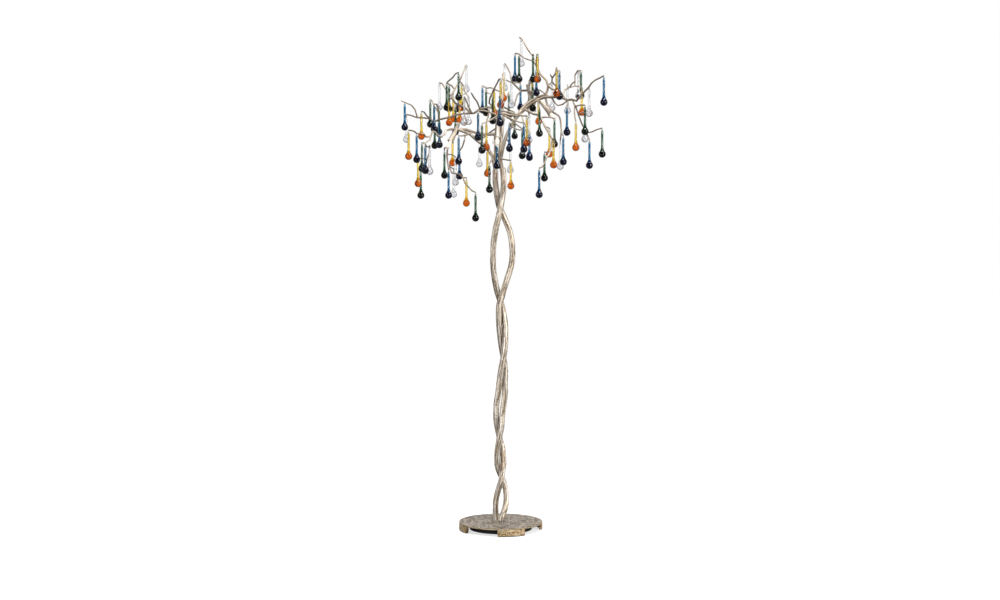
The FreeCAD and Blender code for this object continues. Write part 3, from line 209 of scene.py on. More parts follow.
def any_of(tree, *kinds):
    """1 for rays of one of the given kinds."""
    path = tree.nodes.new("ShaderNodeLightPath")
    found = path.outputs[kinds[0]]
    for kind in kinds[1:]:
        found = arithmetic(tree, "MAXIMUM", found, path.outputs[kind])
    return found


def either(tree, choice, when_no, when_yes):
    """One number where the choice is 0, another where it is 1."""
    node = add(tree, "ShaderNodeMix", {0: choice, 2: when_no, 3: when_yes}, data_type="FLOAT")
    return node.outputs[0]


world = bpy.data.worlds.new("white_room")
world.use_nodes = True
world.node_tree.nodes.clear()
scene.world = world
room = world.node_tree
heading = add(room, "ShaderNodeSeparateXYZ",
              {0: room.nodes.new("ShaderNodeTexCoord").outputs["Generated"]})
shed = span(room, heading.outputs[2], *SKY_EDGE, GROUND_LIGHT, SKY_LIGHT, smooth=True)
backdrop = span(room, heading.outputs[1], *BACKDROP_EDGE, ROOM_FRONT, 1.0, smooth=True)
seen_in_glass = any_of(room, "Is Glossy Ray", "Is Transmission Ray")
strength = either(room, seen_in_glass, shed, backdrop)
strength = either(room, any_of(room, "Is Camera Ray"), strength, 1.0)
room_light = add(room, "ShaderNodeBackground", {"Color": plain(1, 1, 1), "Strength": strength})
room_output = room.nodes.new("ShaderNodeOutputWorld")
room.links.new(room_light.outputs[0], room_output.inputs["Surface"])

floor_material, tree, output = start_material("floor_paint")
floor_grey = either(tree, any_of(tree, "Is Glossy Ray"), FLOOR_GREY, FLOOR_IN_GLOSS)
floor_paint = add(tree, "ShaderNodeBsdfDiffuse", {"Color": floor_grey})
floor_lift = arithmetic(tree, "MULTIPLY", FLOOR_LIFT,
                        any_of(tree, "Is Camera Ray", "Is Transmission Ray"))
floor_glow = add(tree, "ShaderNodeEmission", {"Color": plain(1, 1, 1), "Strength": floor_lift})
floor_sum = add(tree, "ShaderNodeAddShader", {0: floor_paint.outputs[0], 1: floor_glow.outputs[0]})
tree.links.new(floor_sum.outputs[0], output.inputs["Surface"])

floor_mesh = bpy.data.meshes.new("floor")
floor_mesh.from_pydata([(-FLOOR_REACH, -FLOOR_REACH, 0), (FLOOR_REACH, -FLOOR_REACH, 0),
                        (FLOOR_REACH, FLOOR_REACH, 0), (-FLOOR_REACH, FLOOR_REACH, 0)],
                       [], [(0, 1, 2, 3)])
floor_mesh.materials.append(floor_material)
floor = bpy.data.objects.new("floor", floor_mesh)
scene.collection.objects.link(floor)

# %% Lights
# name, place in metres, width and height in metres, watts
PANELS = [
    ("panel_right", (2.7, -2.6, 2.1), 1.5, 2.2, 115.0),
    ("panel_left", (-2.6, -3.1, 1.6), 1.2, 1.8, 36.0),
    ("panel_top", (0.5, -0.9, 4.0), 1.4, 1.4, 95.0),
]
CROWN_MIDDLE = Vector((0, 0, 1.25))

for name, place, width, height, watts in PANELS:
    lamp = bpy.data.lights.new(name, "AREA")
    lamp.shape = "RECTANGLE"
    lamp.size = width
    lamp.size_y = height
    lamp.energy = watts
    panel = bpy.data.objects.new(name, lamp)
    panel.location = place
    panel.rotation_euler = (CROWN_MIDDLE - Vector(place)).to_track_quat("-Z", "Y").to_euler()
    scene.collection.objects.link(panel)
print(len(PANELS), "light panels")

# %% [markdown]
# ## Mesh helpers
#
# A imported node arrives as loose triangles. A welded copy of it is a closed skin again, and a
# voxel remesh turns that into even small squares, which grooves and pits need. The copy is what
# changes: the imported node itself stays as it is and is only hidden.

# %% Mesh helpers
WELD = 1e-5                        # metres


def new_object(name, mesh):
    """An object for a mesh, placed in the scene."""
    item = bpy.data.objects.new(name, mesh)
    scene.collection.objects.link(item)
    return item


def welded_copy(name, node):
    """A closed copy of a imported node's skin."""
    build = bmesh.new()
    build.from_mesh(nodes[node].data)
    bmesh.ops.remove_doubles(build, verts=build.verts, dist=WELD)
    mesh = bpy.data.meshes.new(name)
    build.to_mesh(mesh)
    build.free()
    return new_object(name, mesh)


def remesh(item, voxel, smoothing):
    """Even squares over the whole skin, with its corners softened."""
    squares = item.modifiers.new("squares", "REMESH")
    squares.mode = "VOXEL"
    squares.voxel_size = voxel
    squares.use_smooth_shade = True
    soften = item.modifiers.new("soften", "SMOOTH")
    soften.factor = 0.5
    soften.iterations = smoothing


def settle(item):
    """Turn an object's modifiers into plain mesh."""
    graph = bpy.context.evaluated_depsgraph_get()
    mesh = bpy.data.meshes.new_from_object(item.evaluated_get(graph), depsgraph=graph,
                                           preserve_all_data_layers=True)
    item.modifiers.clear()
    item.data = mesh
    mesh.name = item.name


def smooth_shaded(mesh):
    """Shade across the edges between faces, as on a cast or blown surface."""
    mesh.polygons.foreach_set("use_smooth", [True] * len(mesh.polygons))


def loose_parts(node):
    """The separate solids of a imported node: an array of places for each."""
    build = bmesh.new()
    build.from_mesh(nodes[node].data)
    bmesh.ops.remove_doubles(build, verts=build.verts, dist=WELD)
    build.verts.ensure_lookup_table()
    waiting = set(range(len(build.verts)))
    parts = []
    while waiting:
        found = [waiting.pop()]
        for index in found:
            for edge in build.verts[index].link_edges:
                other = edge.other_vert(build.verts[index]).index
                if other in waiting:
                    waiting.remove(other)
                    found.append(other)
        parts.append(np.array([build.verts[index].co for index in found]))
    build.free()
    return parts


def lathed(outline, segments):
    """A closed skin of revolution about Z: the outline is (radius, height) from pole to pole."""
    build = bmesh.new()
    rings = []
    for radius, height in outline:
        if radius == 0:
            rings.append([build.verts.new((0, 0, height))])
            continue
        ring = []
        for step in range(segments):
            angle = step / segments * math.tau
            ring.append(build.verts.new((radius * math.cos(angle), radius * math.sin(angle),
                                         height)))
        rings.append(ring)
    for low, high in zip(rings, rings[1:]):
        for step in range(segments):
            after = (step + 1) % segments
            if len(low) == 1:
                build.faces.new((low[0], high[after], high[step]))
            elif len(high) == 1:
                build.faces.new((low[step], low[after], high[0]))
            else:
                build.faces.new((low[step], low[after], high[after], high[step]))
    bmesh.ops.recalc_face_normals(build, faces=build.faces)
    return build


def geometry_tree(name, inputs):
    """A Geometry Nodes tree with named inputs: its tree, its inputs' node and its output node."""
    made = bpy.data.node_groups.new(name, "GeometryNodeTree")
    made.interface.new_socket("Geometry", in_out="INPUT", socket_type="NodeSocketGeometry")
    for label, kind, value in inputs:
        socket = made.interface.new_socket(label, in_out="INPUT", socket_type="NodeSocket" + kind)
        if value is not None:
            socket.default_value = value
    made.interface.new_socket("Geometry", in_out="OUTPUT", socket_type="NodeSocketGeometry")
    return made, made.nodes.new("NodeGroupInput"), made.nodes.new("NodeGroupOutput")


def keeping(made, geometry, name, value, kind="FLOAT"):
    """The geometry with one more value kept on its points, for a material to read."""
    node = add(made, "GeometryNodeStoreNamedAttribute",
               {"Geometry": geometry, "Name": name, "Value": value},
               data_type=kind, domain="POINT")
    return node.outputs[0]


def raised_by(made, geometry, normal, rise):
    """The geometry with each point moved out along its normal."""
    node = add(made, "GeometryNodeSetPosition",
               {"Geometry": geometry, "Offset": scaled(made, normal, rise)})
    return node.outputs[0]


def finish_tree(made, geometry, given, result):
    """The end of a tree: the material named Finish, then the way out."""
    finished = add(made, "GeometryNodeSetMaterial",
                   {"Geometry": geometry, "Material": given.outputs["Finish"]})
    made.links.new(finished.outputs[0], result.inputs[0])


def run_tree(item, made, values):
    """Hang a Geometry Nodes tree on an object, with its inputs set by name."""
    modifier = item.modifiers.new(made.name, "NODES")
    modifier.node_group = made
    for socket in made.interface.items_tree:
        if socket.in_out == "INPUT" and socket.name in values:
            modifier[socket.identifier] = values[socket.name]


# %% [markdown]
# ## Worn bark metal
#
# The stems and twigs are bars that were hammered, silvered and rubbed with brown, so they show
# long grooves that follow each bar, dark at the bottom and pale on the ridges. A pattern that
# runs along a bent bar needs the bar's direction. The surface normal gives it for free: along a
# straight bar the normal stays the same, and round the bar it turns quickly. Noise that reads a
# lot of the normal and a little of the place is therefore stretched along every bar.
#
# The same tree moves the surface and keeps the groove's depth as an attribute for the colour, so
# that the brown always lies in the real grooves. The stems are also swollen by the filler under
# the leaf, and painted dark brown as shade where one comes close to the other. Proximity to the
# other stem measures that, and goes to the colour in the same way.

# %% Groove tree
GROOVE_INPUTS = [
    ("Groove depth", "Float", 0.4 * MM),
    ("Lump height", "Float", 0.6 * MM),
    ("Swell", "Float", 0.0),        # thickness that the leaf and filler add
    ("Turns", "Float", 1.7),        # how fast the pattern changes round a bar
    ("Run", "Float", 9.0),          # how fast it changes along the bar, per metre
    ("Neighbour", "Object", None),  # a bar that runs close by
    ("Crevice", "Float", 0.0),      # how much painted shade this bar gets where the neighbour comes close
    ("Finish", "Material", None),
]
CREVICE_SHADE_WIDE = 9.0 * MM            # the gap between two bars at which the painted shade begins
NOISE_MIDDLE = 0.5                 # grooves lie where the noise crosses its middle
GROOVE_WIDE = 0.075                # how far from its middle the noise still makes a groove
LUMP_SCALE = 0.55
LUMP_LEVEL = 0.45                  # noise above this stands out, noise below it is sunk


def stretched_place(made, normal, place, turns, run):
    """A place that changes quickly round a bar and slowly along it."""
    return vector_sum(made, scaled(made, normal, turns), scaled(made, place, run))


bark_tree, given, result = geometry_tree("bark_grooves", GROOVE_INPUTS)
place = bark_tree.nodes.new("GeometryNodeInputPosition").outputs[0]
normal = bark_tree.nodes.new("GeometryNodeInputNormal").outputs[0]
streak_place = stretched_place(bark_tree, normal, place, given.outputs["Turns"],
                               given.outputs["Run"])
streak = noise(bark_tree, streak_place, 1.0, detail=3.0, roughness=0.55)
ridge = arithmetic(bark_tree, "ABSOLUTE",
                   arithmetic(bark_tree, "SUBTRACT", streak, NOISE_MIDDLE))
groove = span(bark_tree, ridge, 0.0, GROOVE_WIDE, 1.0, 0.0, smooth=True)
lump = noise(bark_tree, vector_sum(bark_tree, streak_place, place), LUMP_SCALE, detail=1.0)
rise = arithmetic(bark_tree, "SUBTRACT",
                  arithmetic(bark_tree, "MULTIPLY",
                             arithmetic(bark_tree, "SUBTRACT", lump, LUMP_LEVEL),
                             given.outputs["Lump height"]),
                  arithmetic(bark_tree, "MULTIPLY", groove, given.outputs["Groove depth"]))
rise = arithmetic(bark_tree, "ADD", rise, given.outputs["Swell"])
neighbour = add(bark_tree, "GeometryNodeObjectInfo", {0: given.outputs["Neighbour"]},
                transform_space="RELATIVE")
gap = add(bark_tree, "GeometryNodeProximity", {0: neighbour.outputs["Geometry"]},
          target_element="FACES")
# Painted shade: a share that grows as the other stem comes close, kept for the colour.
crevice = arithmetic(bark_tree, "MULTIPLY", given.outputs["Crevice"],
                     span(bark_tree, gap.outputs["Distance"], CREVICE_SHADE_WIDE, 0.0, smooth=True))
skin = keeping(bark_tree, given.outputs["Geometry"], "round", normal, "FLOAT_VECTOR")
skin = keeping(bark_tree, skin, "groove", groove)
skin = keeping(bark_tree, skin, "crevice", crevice)
finish_tree(bark_tree, raised_by(bark_tree, skin, normal, rise), given, result)
print("groove tree:", len(bark_tree.nodes), "nodes")

# %% [markdown]
# The colour is laid on in layers: pale leaf, a tan stain where it is rubbed thin, dark brown
# painted as shade on the undersides and in the crevices between the stems, and the same brown in
# the grooves. Each layer is a mix over the last one, and the kept values say where it goes. The
# limbs and twigs have darker leaf and more of the brown than the stems, so one function makes all
# three metals from different numbers.

# %% Bark metal
CREAM = plain(0.88, 0.82, 0.74)
SILVER = plain(0.65, 0.55, 0.43)
LIMB_CREAM = plain(0.76, 0.69, 0.60)
LIMB_SILVER = plain(0.50, 0.42, 0.32)
TWIG_CREAM = plain(0.62, 0.56, 0.49)
TWIG_SILVER = plain(0.38, 0.33, 0.27)
TAN = plain(0.33, 0.235, 0.135)
UMBER = plain(0.075, 0.042, 0.020)
FINE_TURNS = 2.6                   # how much faster the fine pattern changes round a bar
FINE_RUN = 2.2                     # and along it
STAIN_EDGE = (0.53, 0.61)          # the noise at which the tan stain begins, is full
UNDERSIDE_SHADE_EDGE = (0.40, -0.30)         # the turn downwards at which the painted underside shade begins, is full
LEAF_METALLIC = 0.4
LEAF_ROUGH = (0.34, 0.55)


def bark_metal(name, turns, run, brown, pale, grey):
    """Silver leaf over brown. `brown` says how much of the tan stain and of the painted underside
    shade shows, from 0 to 1.

    `pale` and `grey` are the leaf's two shades. The leaf was rubbed through at random streaks.
    The undersides, and the places where two bars come close, are painted dark brown as shade.
    """
    material, tree, output = start_material(name)
    kept = add(tree, "ShaderNodeAttribute", attribute_name="round").outputs["Vector"]
    deep = kept_value(tree, "groove")
    between = kept_value(tree, "crevice")
    place = object_place(tree)
    along = stretched_place(tree, kept, place, turns, run)
    fine_place = stretched_place(tree, kept, place, turns * FINE_TURNS, run * FINE_RUN)
    broad = noise(tree, along, 0.8, detail=2.0)
    fine = noise(tree, fine_place, 1.0, detail=3.0, roughness=0.6)
    leaf = blend_colour(tree, span(tree, broad, 0.42, 0.58), pale, grey)
    stain = span(tree, noise(tree, along, 1.5, detail=3.0, roughness=0.6),
                 *[edge - 0.05 * brown for edge in STAIN_EDGE], smooth=True)
    leaf = blend_colour(tree, arithmetic(tree, "MULTIPLY", stain, 0.8), leaf, TAN)
    # Painted shade: the undersides, found from the kept normal, are painted dark brown.
    under = add(tree, "ShaderNodeSeparateXYZ", {0: kept}).outputs[2]
    under = arithmetic(tree, "ADD", under, arithmetic(tree, "MULTIPLY", fine, 0.8))
    under = span(tree, under, *UNDERSIDE_SHADE_EDGE, 0.0, 0.55 + 0.4 * brown, smooth=True)
    # Painted shade: dark brown over the undersides and where the other stem comes close.
    leaf = blend_colour(tree, arithmetic(tree, "MAXIMUM", under, between), leaf, UMBER)
    sunk = arithmetic(tree, "MULTIPLY", deep, span(tree, broad, 0.35, 0.55, 0.55, 1.0))
    leaf = blend_colour(tree, sunk, leaf, UMBER)
    height = arithmetic(tree, "SUBTRACT", fine, arithmetic(tree, "MULTIPLY", deep, 0.4))
    principled(tree, output, {"Base Color": leaf, "Metallic": LEAF_METALLIC,
                              "Roughness": span(tree, fine, 0.3, 0.7, *LEAF_ROUGH),
                              "Normal": bumped(tree, height, 0.3, 0.6 * MM)})
    return material


bark_finish = bark_metal("bark_metal", 1.7, 9.0, 0.4, CREAM, SILVER)
limb_finish = bark_metal("limb_metal", 1.5, 13.0, 0.8, LIMB_CREAM, LIMB_SILVER)
twig_finish = bark_metal("twig_metal", 1.3, 16.0, 1.0, TWIG_CREAM, TWIG_SILVER)

# %% [markdown]
# The stems are thick enough for deep grooves, and the twigs are not, so each size of bar has its
# own depth of groove and its own voxel. A finer bar needs smaller squares, or its skin breaks up.

# %% Stems, limbs and branches
STEM_NAMES = ["stem_left", "stem_right"]
LIMB_NAMES = [name for name in nodes if name.startswith("limb_")]
BRANCH_NAMES = [name for name in nodes if name.startswith("branch_")]
STEM_VOXEL = 1.5 * MM
LIMB_VOXEL = 1.25 * MM
BRANCH_VOXEL = 1.05 * MM
# How dark the painted shade between the two stems is.
CREVICE_SHADE = 0.95


def bark_piece(node, voxel, smoothing, finish, values):
    """One bar or group of twigs with its grooves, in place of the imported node."""
    piece = welded_copy(node + "_bark", node)
    remesh(piece, voxel, smoothing)
    run_tree(piece, bark_tree, {"Finish": finish, **values})
    settle(piece)
    smooth_shaded(piece.data)
    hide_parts(node)
    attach(piece, "root")
    return len(piece.data.polygons)


face_count = 0
for node, other in zip(STEM_NAMES, reversed(STEM_NAMES)):
    face_count += bark_piece(node, STEM_VOXEL, 3, bark_finish,
                             {"Groove depth": 0.6 * MM, "Lump height": 2.6 * MM,
                              "Swell": 1.0 * MM, "Neighbour": nodes[other],
                              "Crevice": CREVICE_SHADE})
for node in LIMB_NAMES:
    face_count += bark_piece(node, LIMB_VOXEL, 4, limb_finish,
                             {"Groove depth": 0.45 * MM, "Lump height": 1.8 * MM, "Turns": 1.4,
                              "Run": 14.0})
for node in BRANCH_NAMES:
    face_count += bark_piece(node, BRANCH_VOXEL, 3, twig_finish,
                             {"Groove depth": 0.3 * MM, "Lump height": 1.2 * MM, "Turns": 1.2,
                              "Run": 20.0})
print("bark:", face_count, "faces")

# %% [markdown]
# ## Glass
#
# Light is taken off along its way through coloured glass, so a drop is pale in its thin stem and
# deep in its ball. Volume absorption does just that: the inside takes a share of each colour for
# every metre, and the share is worked out from the colour that the stem should show. The ball
# was also dipped in a denser glass. That comes from a tint on the surface, which starts where
# the stem widens: each vertex carries its depth under the eye.

# %% Glass materials
STEM_PATH = 0.0090                 # metres of glass that light crosses in a drop's stem
SURFACE_SHARE = 0.92               # what the two surfaces let through
BALL_TINT_FROM = 58.0 * MM         # depth under the eye where the dense glass begins
BALL_TINT_FULL = 74.0 * MM
GLASS_IOR = 1.5                    # how strongly the glass bends light

# The colour that each glass shows in the stem, and what the dense glass of the ball lets through.
GLASS_COLOURS = {
    "blue": ((0.012, 0.120, 0.27), plain(0.08, 0.22, 0.42)),
    "green": ((0.028, 0.090, 0.046), plain(0.08, 0.36, 0.18)),
    "amber": ((0.80, 0.56, 0.060), plain(0.88, 0.40, 0.09)),
    "clear": ((0.84, 0.84, 0.85), plain(0.93, 0.93, 0.94)),
}


def glass(name, shown, ball_tint):
    """Clear glass whose inside takes off light until its stem shows the colour."""
    material, tree, output = start_material(name)
    dense = span(tree, kept_value(tree, "depth"), BALL_TINT_FROM, BALL_TINT_FULL, smooth=True)
    tint = blend_colour(tree, dense, plain(1, 1, 1), ball_tint)
    principled(tree, output, {"Base Color": tint, "Roughness": 0.0, "IOR": GLASS_IOR,
                              "Transmission Weight": 1.0})
    taken = [max(-math.log(share / SURFACE_SHARE) / STEM_PATH, 0.0) for share in shown]
    # The density is a little above the largest share, so that every channel of the colour, which
    # says what is kept, stays above 0.
    density = max(taken) * 1.02 + 1.0
    kept = plain(*[1.0 - share / density for share in taken])
    inside = add(tree, "ShaderNodeVolumeAbsorption", {"Color": kept, "Density": density})
    tree.links.new(inside.outputs[0], output.inputs["Volume"])
    return material


glass_finish = {colour: glass("glass_" + colour, *colours)
                for colour, colours in GLASS_COLOURS.items()}
print("glass:", ", ".join(glass_finish))

# %% [markdown]
# A drop's stem and ball are round all along, so turning an outline about the drop's axis makes
# them. Only the pierced bead at the top is not round in that way. It is a small ring of its
# own, and a Boolean joins the two into one closed skin, because light in glass needs to know
# which side is inside.

# %% One drop
# Radius and depth under the eye, in millimetres, from the shoulder down to the ball.
NECK_OUTLINE = [(0, 2.7), (1.7, 2.8), (3.2, 3.4), (4.1, 4.8), (4.4, 7.5), (4.3, 12), (4.15, 20),
                (4.05, 30), (4.05, 40), (4.15, 49), (4.5, 56), (5.2, 61.5), (6.5, 66), (8.4, 69.6)]
BALL_RADIUS = 12.8
BALL_DEPTH = 80.0
BALL_RINGS = 11
BALL_START = 38.0                  # degrees from the top, where the neck meets the ball
DROP_SEGMENTS = 26
BEAD_RADIUS = 3.05                 # to the middle of the bead's glass
BEAD_GLASS = 1.55
BEAD_SEGMENTS = 24
BEAD_SIDES = 10


def drop_outline():
    """The outline of a drop's body, top to bottom, in metres under its eye."""
    outline = [(radius * MM, -depth * MM) for radius, depth in NECK_OUTLINE]
    for step in range(BALL_RINGS + 1):
        angle = math.radians(BALL_START + (180 - BALL_START) * step / BALL_RINGS)
        radius = BALL_RADIUS * math.sin(angle) if step < BALL_RINGS else 0
        outline.append((radius * MM, (BALL_RADIUS * math.cos(angle) - BALL_DEPTH) * MM))
    return outline


def bead_mesh():
    """The pierced bead at the top: a ring of glass whose hole runs along Y."""
    build = bmesh.new()
    rows = []
    for step in range(BEAD_SEGMENTS):
        turn = step / BEAD_SEGMENTS * math.tau
        row = []
        for side in range(BEAD_SIDES):
            angle = side / BEAD_SIDES * math.tau
            radius = (BEAD_RADIUS + BEAD_GLASS * math.cos(angle)) * MM
            row.append(build.verts.new((radius * math.cos(turn), BEAD_GLASS * math.sin(angle) * MM,
                                        radius * math.sin(turn))))
        rows.append(row)
    for step, row in enumerate(rows):
        after = rows[(step + 1) % BEAD_SEGMENTS]
        for side in range(BEAD_SIDES):
            other = (side + 1) % BEAD_SIDES
            build.faces.new((row[side], row[other], after[other], after[side]))
    bmesh.ops.recalc_face_normals(build, faces=build.faces)
    return build


def to_object(build, name):
    """An object from a mesh under construction, which is used up."""
    mesh = bpy.data.meshes.new(name)
    build.to_mesh(mesh)
    build.free()
    return new_object(name, mesh)


drop_body = to_object(lathed(drop_outline(), DROP_SEGMENTS), "drop_body")
bead = to_object(bead_mesh(), "bead")
join = drop_body.modifiers.new("join", "BOOLEAN")
join.operation = "UNION"
join.solver = "EXACT"
join.object = bead
settle(drop_body)
smooth_shaded(drop_body.data)
drop_mesh = drop_body.data
bpy.data.objects.remove(bead)
bpy.data.objects.remove(drop_body)
print("one drop:", len(drop_mesh.polygons), "faces")

# %% [markdown]
# The drops are all alike, so the one above is copied to each place where a packed drop hangs. The
# packed drop's own points say where its eye is and which way its bead is turned. Most drops are
# fixed to the crown, and those of one colour are one piece. The others swing, each on its own.

# %% All drops
EYE_TO_TOP = 4.6 * MM              # from the eye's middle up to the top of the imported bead
BEAD_ZONE = 9.0 * MM               # the topmost part of a drop, where the bead shows its facing


def drop_place(points):
    """Where a packed drop hangs: its eye, and the way its bead faces."""
    low, high = points.min(0), points.max(0)
    eye = Vector(((low[0] + high[0]) / 2, (low[1] + high[1]) / 2, high[2] - EYE_TO_TOP))
    top = points[points[:, 2] > high[2] - BEAD_ZONE][:, :2]
    spread = np.cov((top - top.mean(0)).T)
    widest = np.linalg.eigh(spread)[1][:, -1]
    return Matrix.Translation(eye) @ Matrix.Rotation(math.atan2(widest[1], widest[0]), 4, "Z")


depth_of_drop = [-vertex.co.z for vertex in drop_mesh.vertices]


def glass_piece(name, node, colour, body):
    """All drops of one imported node, as one piece. Says how many there are."""
    build = bmesh.new()
    parts = loose_parts(node)
    for points in parts:
        copy = drop_mesh.copy()
        copy.transform(drop_place(points))
        build.from_mesh(copy)
        bpy.data.meshes.remove(copy)
    piece = to_object(build, name)
    depth = piece.data.attributes.new("depth", "FLOAT", "POINT")
    depth.data.foreach_set("value", depth_of_drop * len(parts))
    smooth_shaded(piece.data)
    piece.data.materials.append(glass_finish[colour])
    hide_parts(node)
    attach(piece, body)
    return len(parts)


drop_count = 0
for node in list(nodes):
    if node.startswith("drop"):
        colour = node.split("_")[1]
        swinging = node.startswith("drop_")
        drop_count += glass_piece(node + "_glass", node, colour, node if swinging else "root")
print(drop_count, "drops")

# %% [markdown]
# ## Hanging rings
#
# Each drop hangs from a small ring of darkened wire that is sunk in the twig above. The rings
# are alike, so Geometry Nodes put one ring on every point of a cloud, and each point says which
# way its ring faces.

# %% Ring wire
wire_finish, tree, output = start_material("ring_wire")
place = object_place(tree)
tarnish = noise(tree, place, 900.0, detail=3.0)
wire_colour = blend_colour(tree, span(tree, tarnish, 0.4, 0.65), plain(0.30, 0.23, 0.14),
                           plain(0.10, 0.07, 0.04))
principled(tree, output, {"Base Color": wire_colour, "Metallic": 0.8,
                          "Roughness": span(tree, tarnish, 0.3, 0.7, 0.3, 0.5)})

# %% Ring tree
RING_STEPS = 20                    # straight pieces round a ring
WIRE_SIDES = 7

ring_tree, given, result = geometry_tree("rings_on_points", [
    ("Ring radius", "Float", 4.4 * MM),
    ("Wire radius", "Float", 0.75 * MM),
    ("Finish", "Material", None),
])
circle = add(ring_tree, "GeometryNodeCurvePrimitiveCircle",
             {"Resolution": RING_STEPS, "Radius": given.outputs["Ring radius"]}, mode="RADIUS")
section = add(ring_tree, "GeometryNodeCurvePrimitiveCircle",
              {"Resolution": WIRE_SIDES, "Radius": given.outputs["Wire radius"]}, mode="RADIUS")
wire = add(ring_tree, "GeometryNodeCurveToMesh",
           {"Curve": circle.outputs[0], "Profile Curve": section.outputs[0]})
facing = add(ring_tree, "GeometryNodeInputNamedAttribute", {"Name": "facing"},
             data_type="FLOAT_VECTOR")
turned = add(ring_tree, "FunctionNodeAlignRotationToVector",
             {"Vector": facing.outputs[0]}, axis="Z")
copies = add(ring_tree, "GeometryNodeInstanceOnPoints",
             {"Points": given.outputs["Geometry"], "Instance": wire.outputs[0],
              "Rotation": turned.outputs[0]})
real = add(ring_tree, "GeometryNodeRealizeInstances", {"Geometry": copies.outputs[0]})
finish_tree(ring_tree, real.outputs[0], given, result)
print("ring tree:", len(ring_tree.nodes), "nodes")

# %% Rings
middles = []
facings = []
for points in loose_parts("hanging_rings"):
    middle = points.mean(0)
    middles.append(middle)
    # A ring spreads least along the way it faces.
    facings.append(np.linalg.eigh(np.cov((points - middle).T))[1][:, 0])
ring_cloud = bpy.data.meshes.new("rings")
ring_cloud.from_pydata([tuple(middle) for middle in middles], [], [])
ring_cloud.attributes.new("facing", "FLOAT_VECTOR", "POINT")
ring_cloud.attributes["facing"].data.foreach_set("vector", np.array(facings, np.float32).ravel())
rings = new_object("rings", ring_cloud)
run_tree(rings, ring_tree, {"Finish": wire_finish})
settle(rings)
smooth_shaded(rings.data)
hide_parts("hanging_rings")
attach(rings, "root")
print(len(middles), "rings")

# %% [markdown]
# ## Base disc and feet
#
# The disc is a rough casting: grey-brown with small pits, and pale gold where its rim was rubbed.
# The feet are the same casting in a golden beige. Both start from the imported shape, and one tree
# beats their surface and digs the pits. It keeps each pit's depth for the colour.

# %% Casting tree
PIT_EDGE = (0.54, 0.68)            # the noise at which a pit begins, is at its deepest

cast_tree, given, result = geometry_tree("pitted_casting", [
    ("Wave height", "Float", 0.5 * MM),
    ("Wave scale", "Float", 45.0),
    ("Pit depth", "Float", 0.6 * MM),
    ("Pit scale", "Float", 210.0),
    ("Finish", "Material", None),
])
place = cast_tree.nodes.new("GeometryNodeInputPosition").outputs[0]
normal = cast_tree.nodes.new("GeometryNodeInputNormal").outputs[0]
wave = noise(cast_tree, place, given.outputs["Wave scale"], detail=2.0)
grain = noise(cast_tree, place, given.outputs["Pit scale"], detail=2.0, roughness=0.6)
pit = span(cast_tree, grain, *PIT_EDGE, smooth=True)
rise = arithmetic(cast_tree, "SUBTRACT",
                  arithmetic(cast_tree, "MULTIPLY",
                             arithmetic(cast_tree, "SUBTRACT", wave, NOISE_MIDDLE),
                             given.outputs["Wave height"]),
                  arithmetic(cast_tree, "MULTIPLY", pit, given.outputs["Pit depth"]))
skin = keeping(cast_tree, given.outputs["Geometry"], "pit", pit)
finish_tree(cast_tree, raised_by(cast_tree, skin, normal, rise), given, result)
print("casting tree:", len(cast_tree.nodes), "nodes")

# %% [markdown]
# Both castings are coloured in layers, like the bark: a cloudy ground, pale specks, dark specks
# and dark pits. The disc also has its golden rim. Two spans find it, one from the distance to the
# disc's axis and one from the height, so that the gold stays on the edge.

# %% Disc finish
_, disc_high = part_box("base_disc")
DISC_RADIUS = disc_high.x
DISC_TOP = disc_high.z
RIM_START = DISC_RADIUS - 4.5 * MM
RIM_EDGE = (DISC_TOP - 0.5 * MM, DISC_TOP - 2.5 * MM)
CAST_BUMP = (0.4, 0.5 * MM)        # strength and height of the fine grain

disc_finish, tree, output = start_material("disc_patina")
place = object_place(tree)
pit_deep = kept_value(tree, "pit")
axes = add(tree, "ShaderNodeSeparateXYZ", {0: place})
flat = add(tree, "ShaderNodeCombineXYZ", {0: axes.outputs[0], 1: axes.outputs[1]})
length = add(tree, "ShaderNodeVectorMath", {0: flat.outputs[0]}, operation="LENGTH")
outward = length.outputs["Value"]
cloud = noise(tree, place, 26.0, detail=4.0, roughness=0.6)
speck = noise(tree, place, 120.0, detail=3.0, roughness=0.75)
patina = blend_colour(tree, span(tree, cloud, 0.44, 0.56), plain(0.275, 0.232, 0.190),
                      plain(0.140, 0.113, 0.088))
patina = blend_colour(tree, span(tree, speck, 0.53, 0.58), patina, plain(0.50, 0.42, 0.32))
patina = blend_colour(tree, span(tree, speck, 0.47, 0.41), patina, plain(0.045, 0.030, 0.020))
patina = blend_colour(tree, arithmetic(tree, "MULTIPLY", pit_deep, 0.8), patina,
                      plain(0.07, 0.045, 0.03))
rim = arithmetic(tree, "MULTIPLY", span(tree, outward, RIM_START, DISC_RADIUS, smooth=True),
                 span(tree, axes.outputs[2], *RIM_EDGE))
rim_leaf = blend_colour(tree, span(tree, speck, 0.4, 0.6), plain(0.55, 0.44, 0.29),
                        plain(0.26, 0.19, 0.11))
patina = blend_colour(tree, rim, patina, rim_leaf)
principled(tree, output, {"Base Color": patina, "Metallic": 0.35,
                          "Roughness": span(tree, speck, 0.3, 0.7, 0.42, 0.68),
                          "Normal": bumped(tree, speck, *CAST_BUMP)})
print("disc radius", round(DISC_RADIUS / MM), "mm")

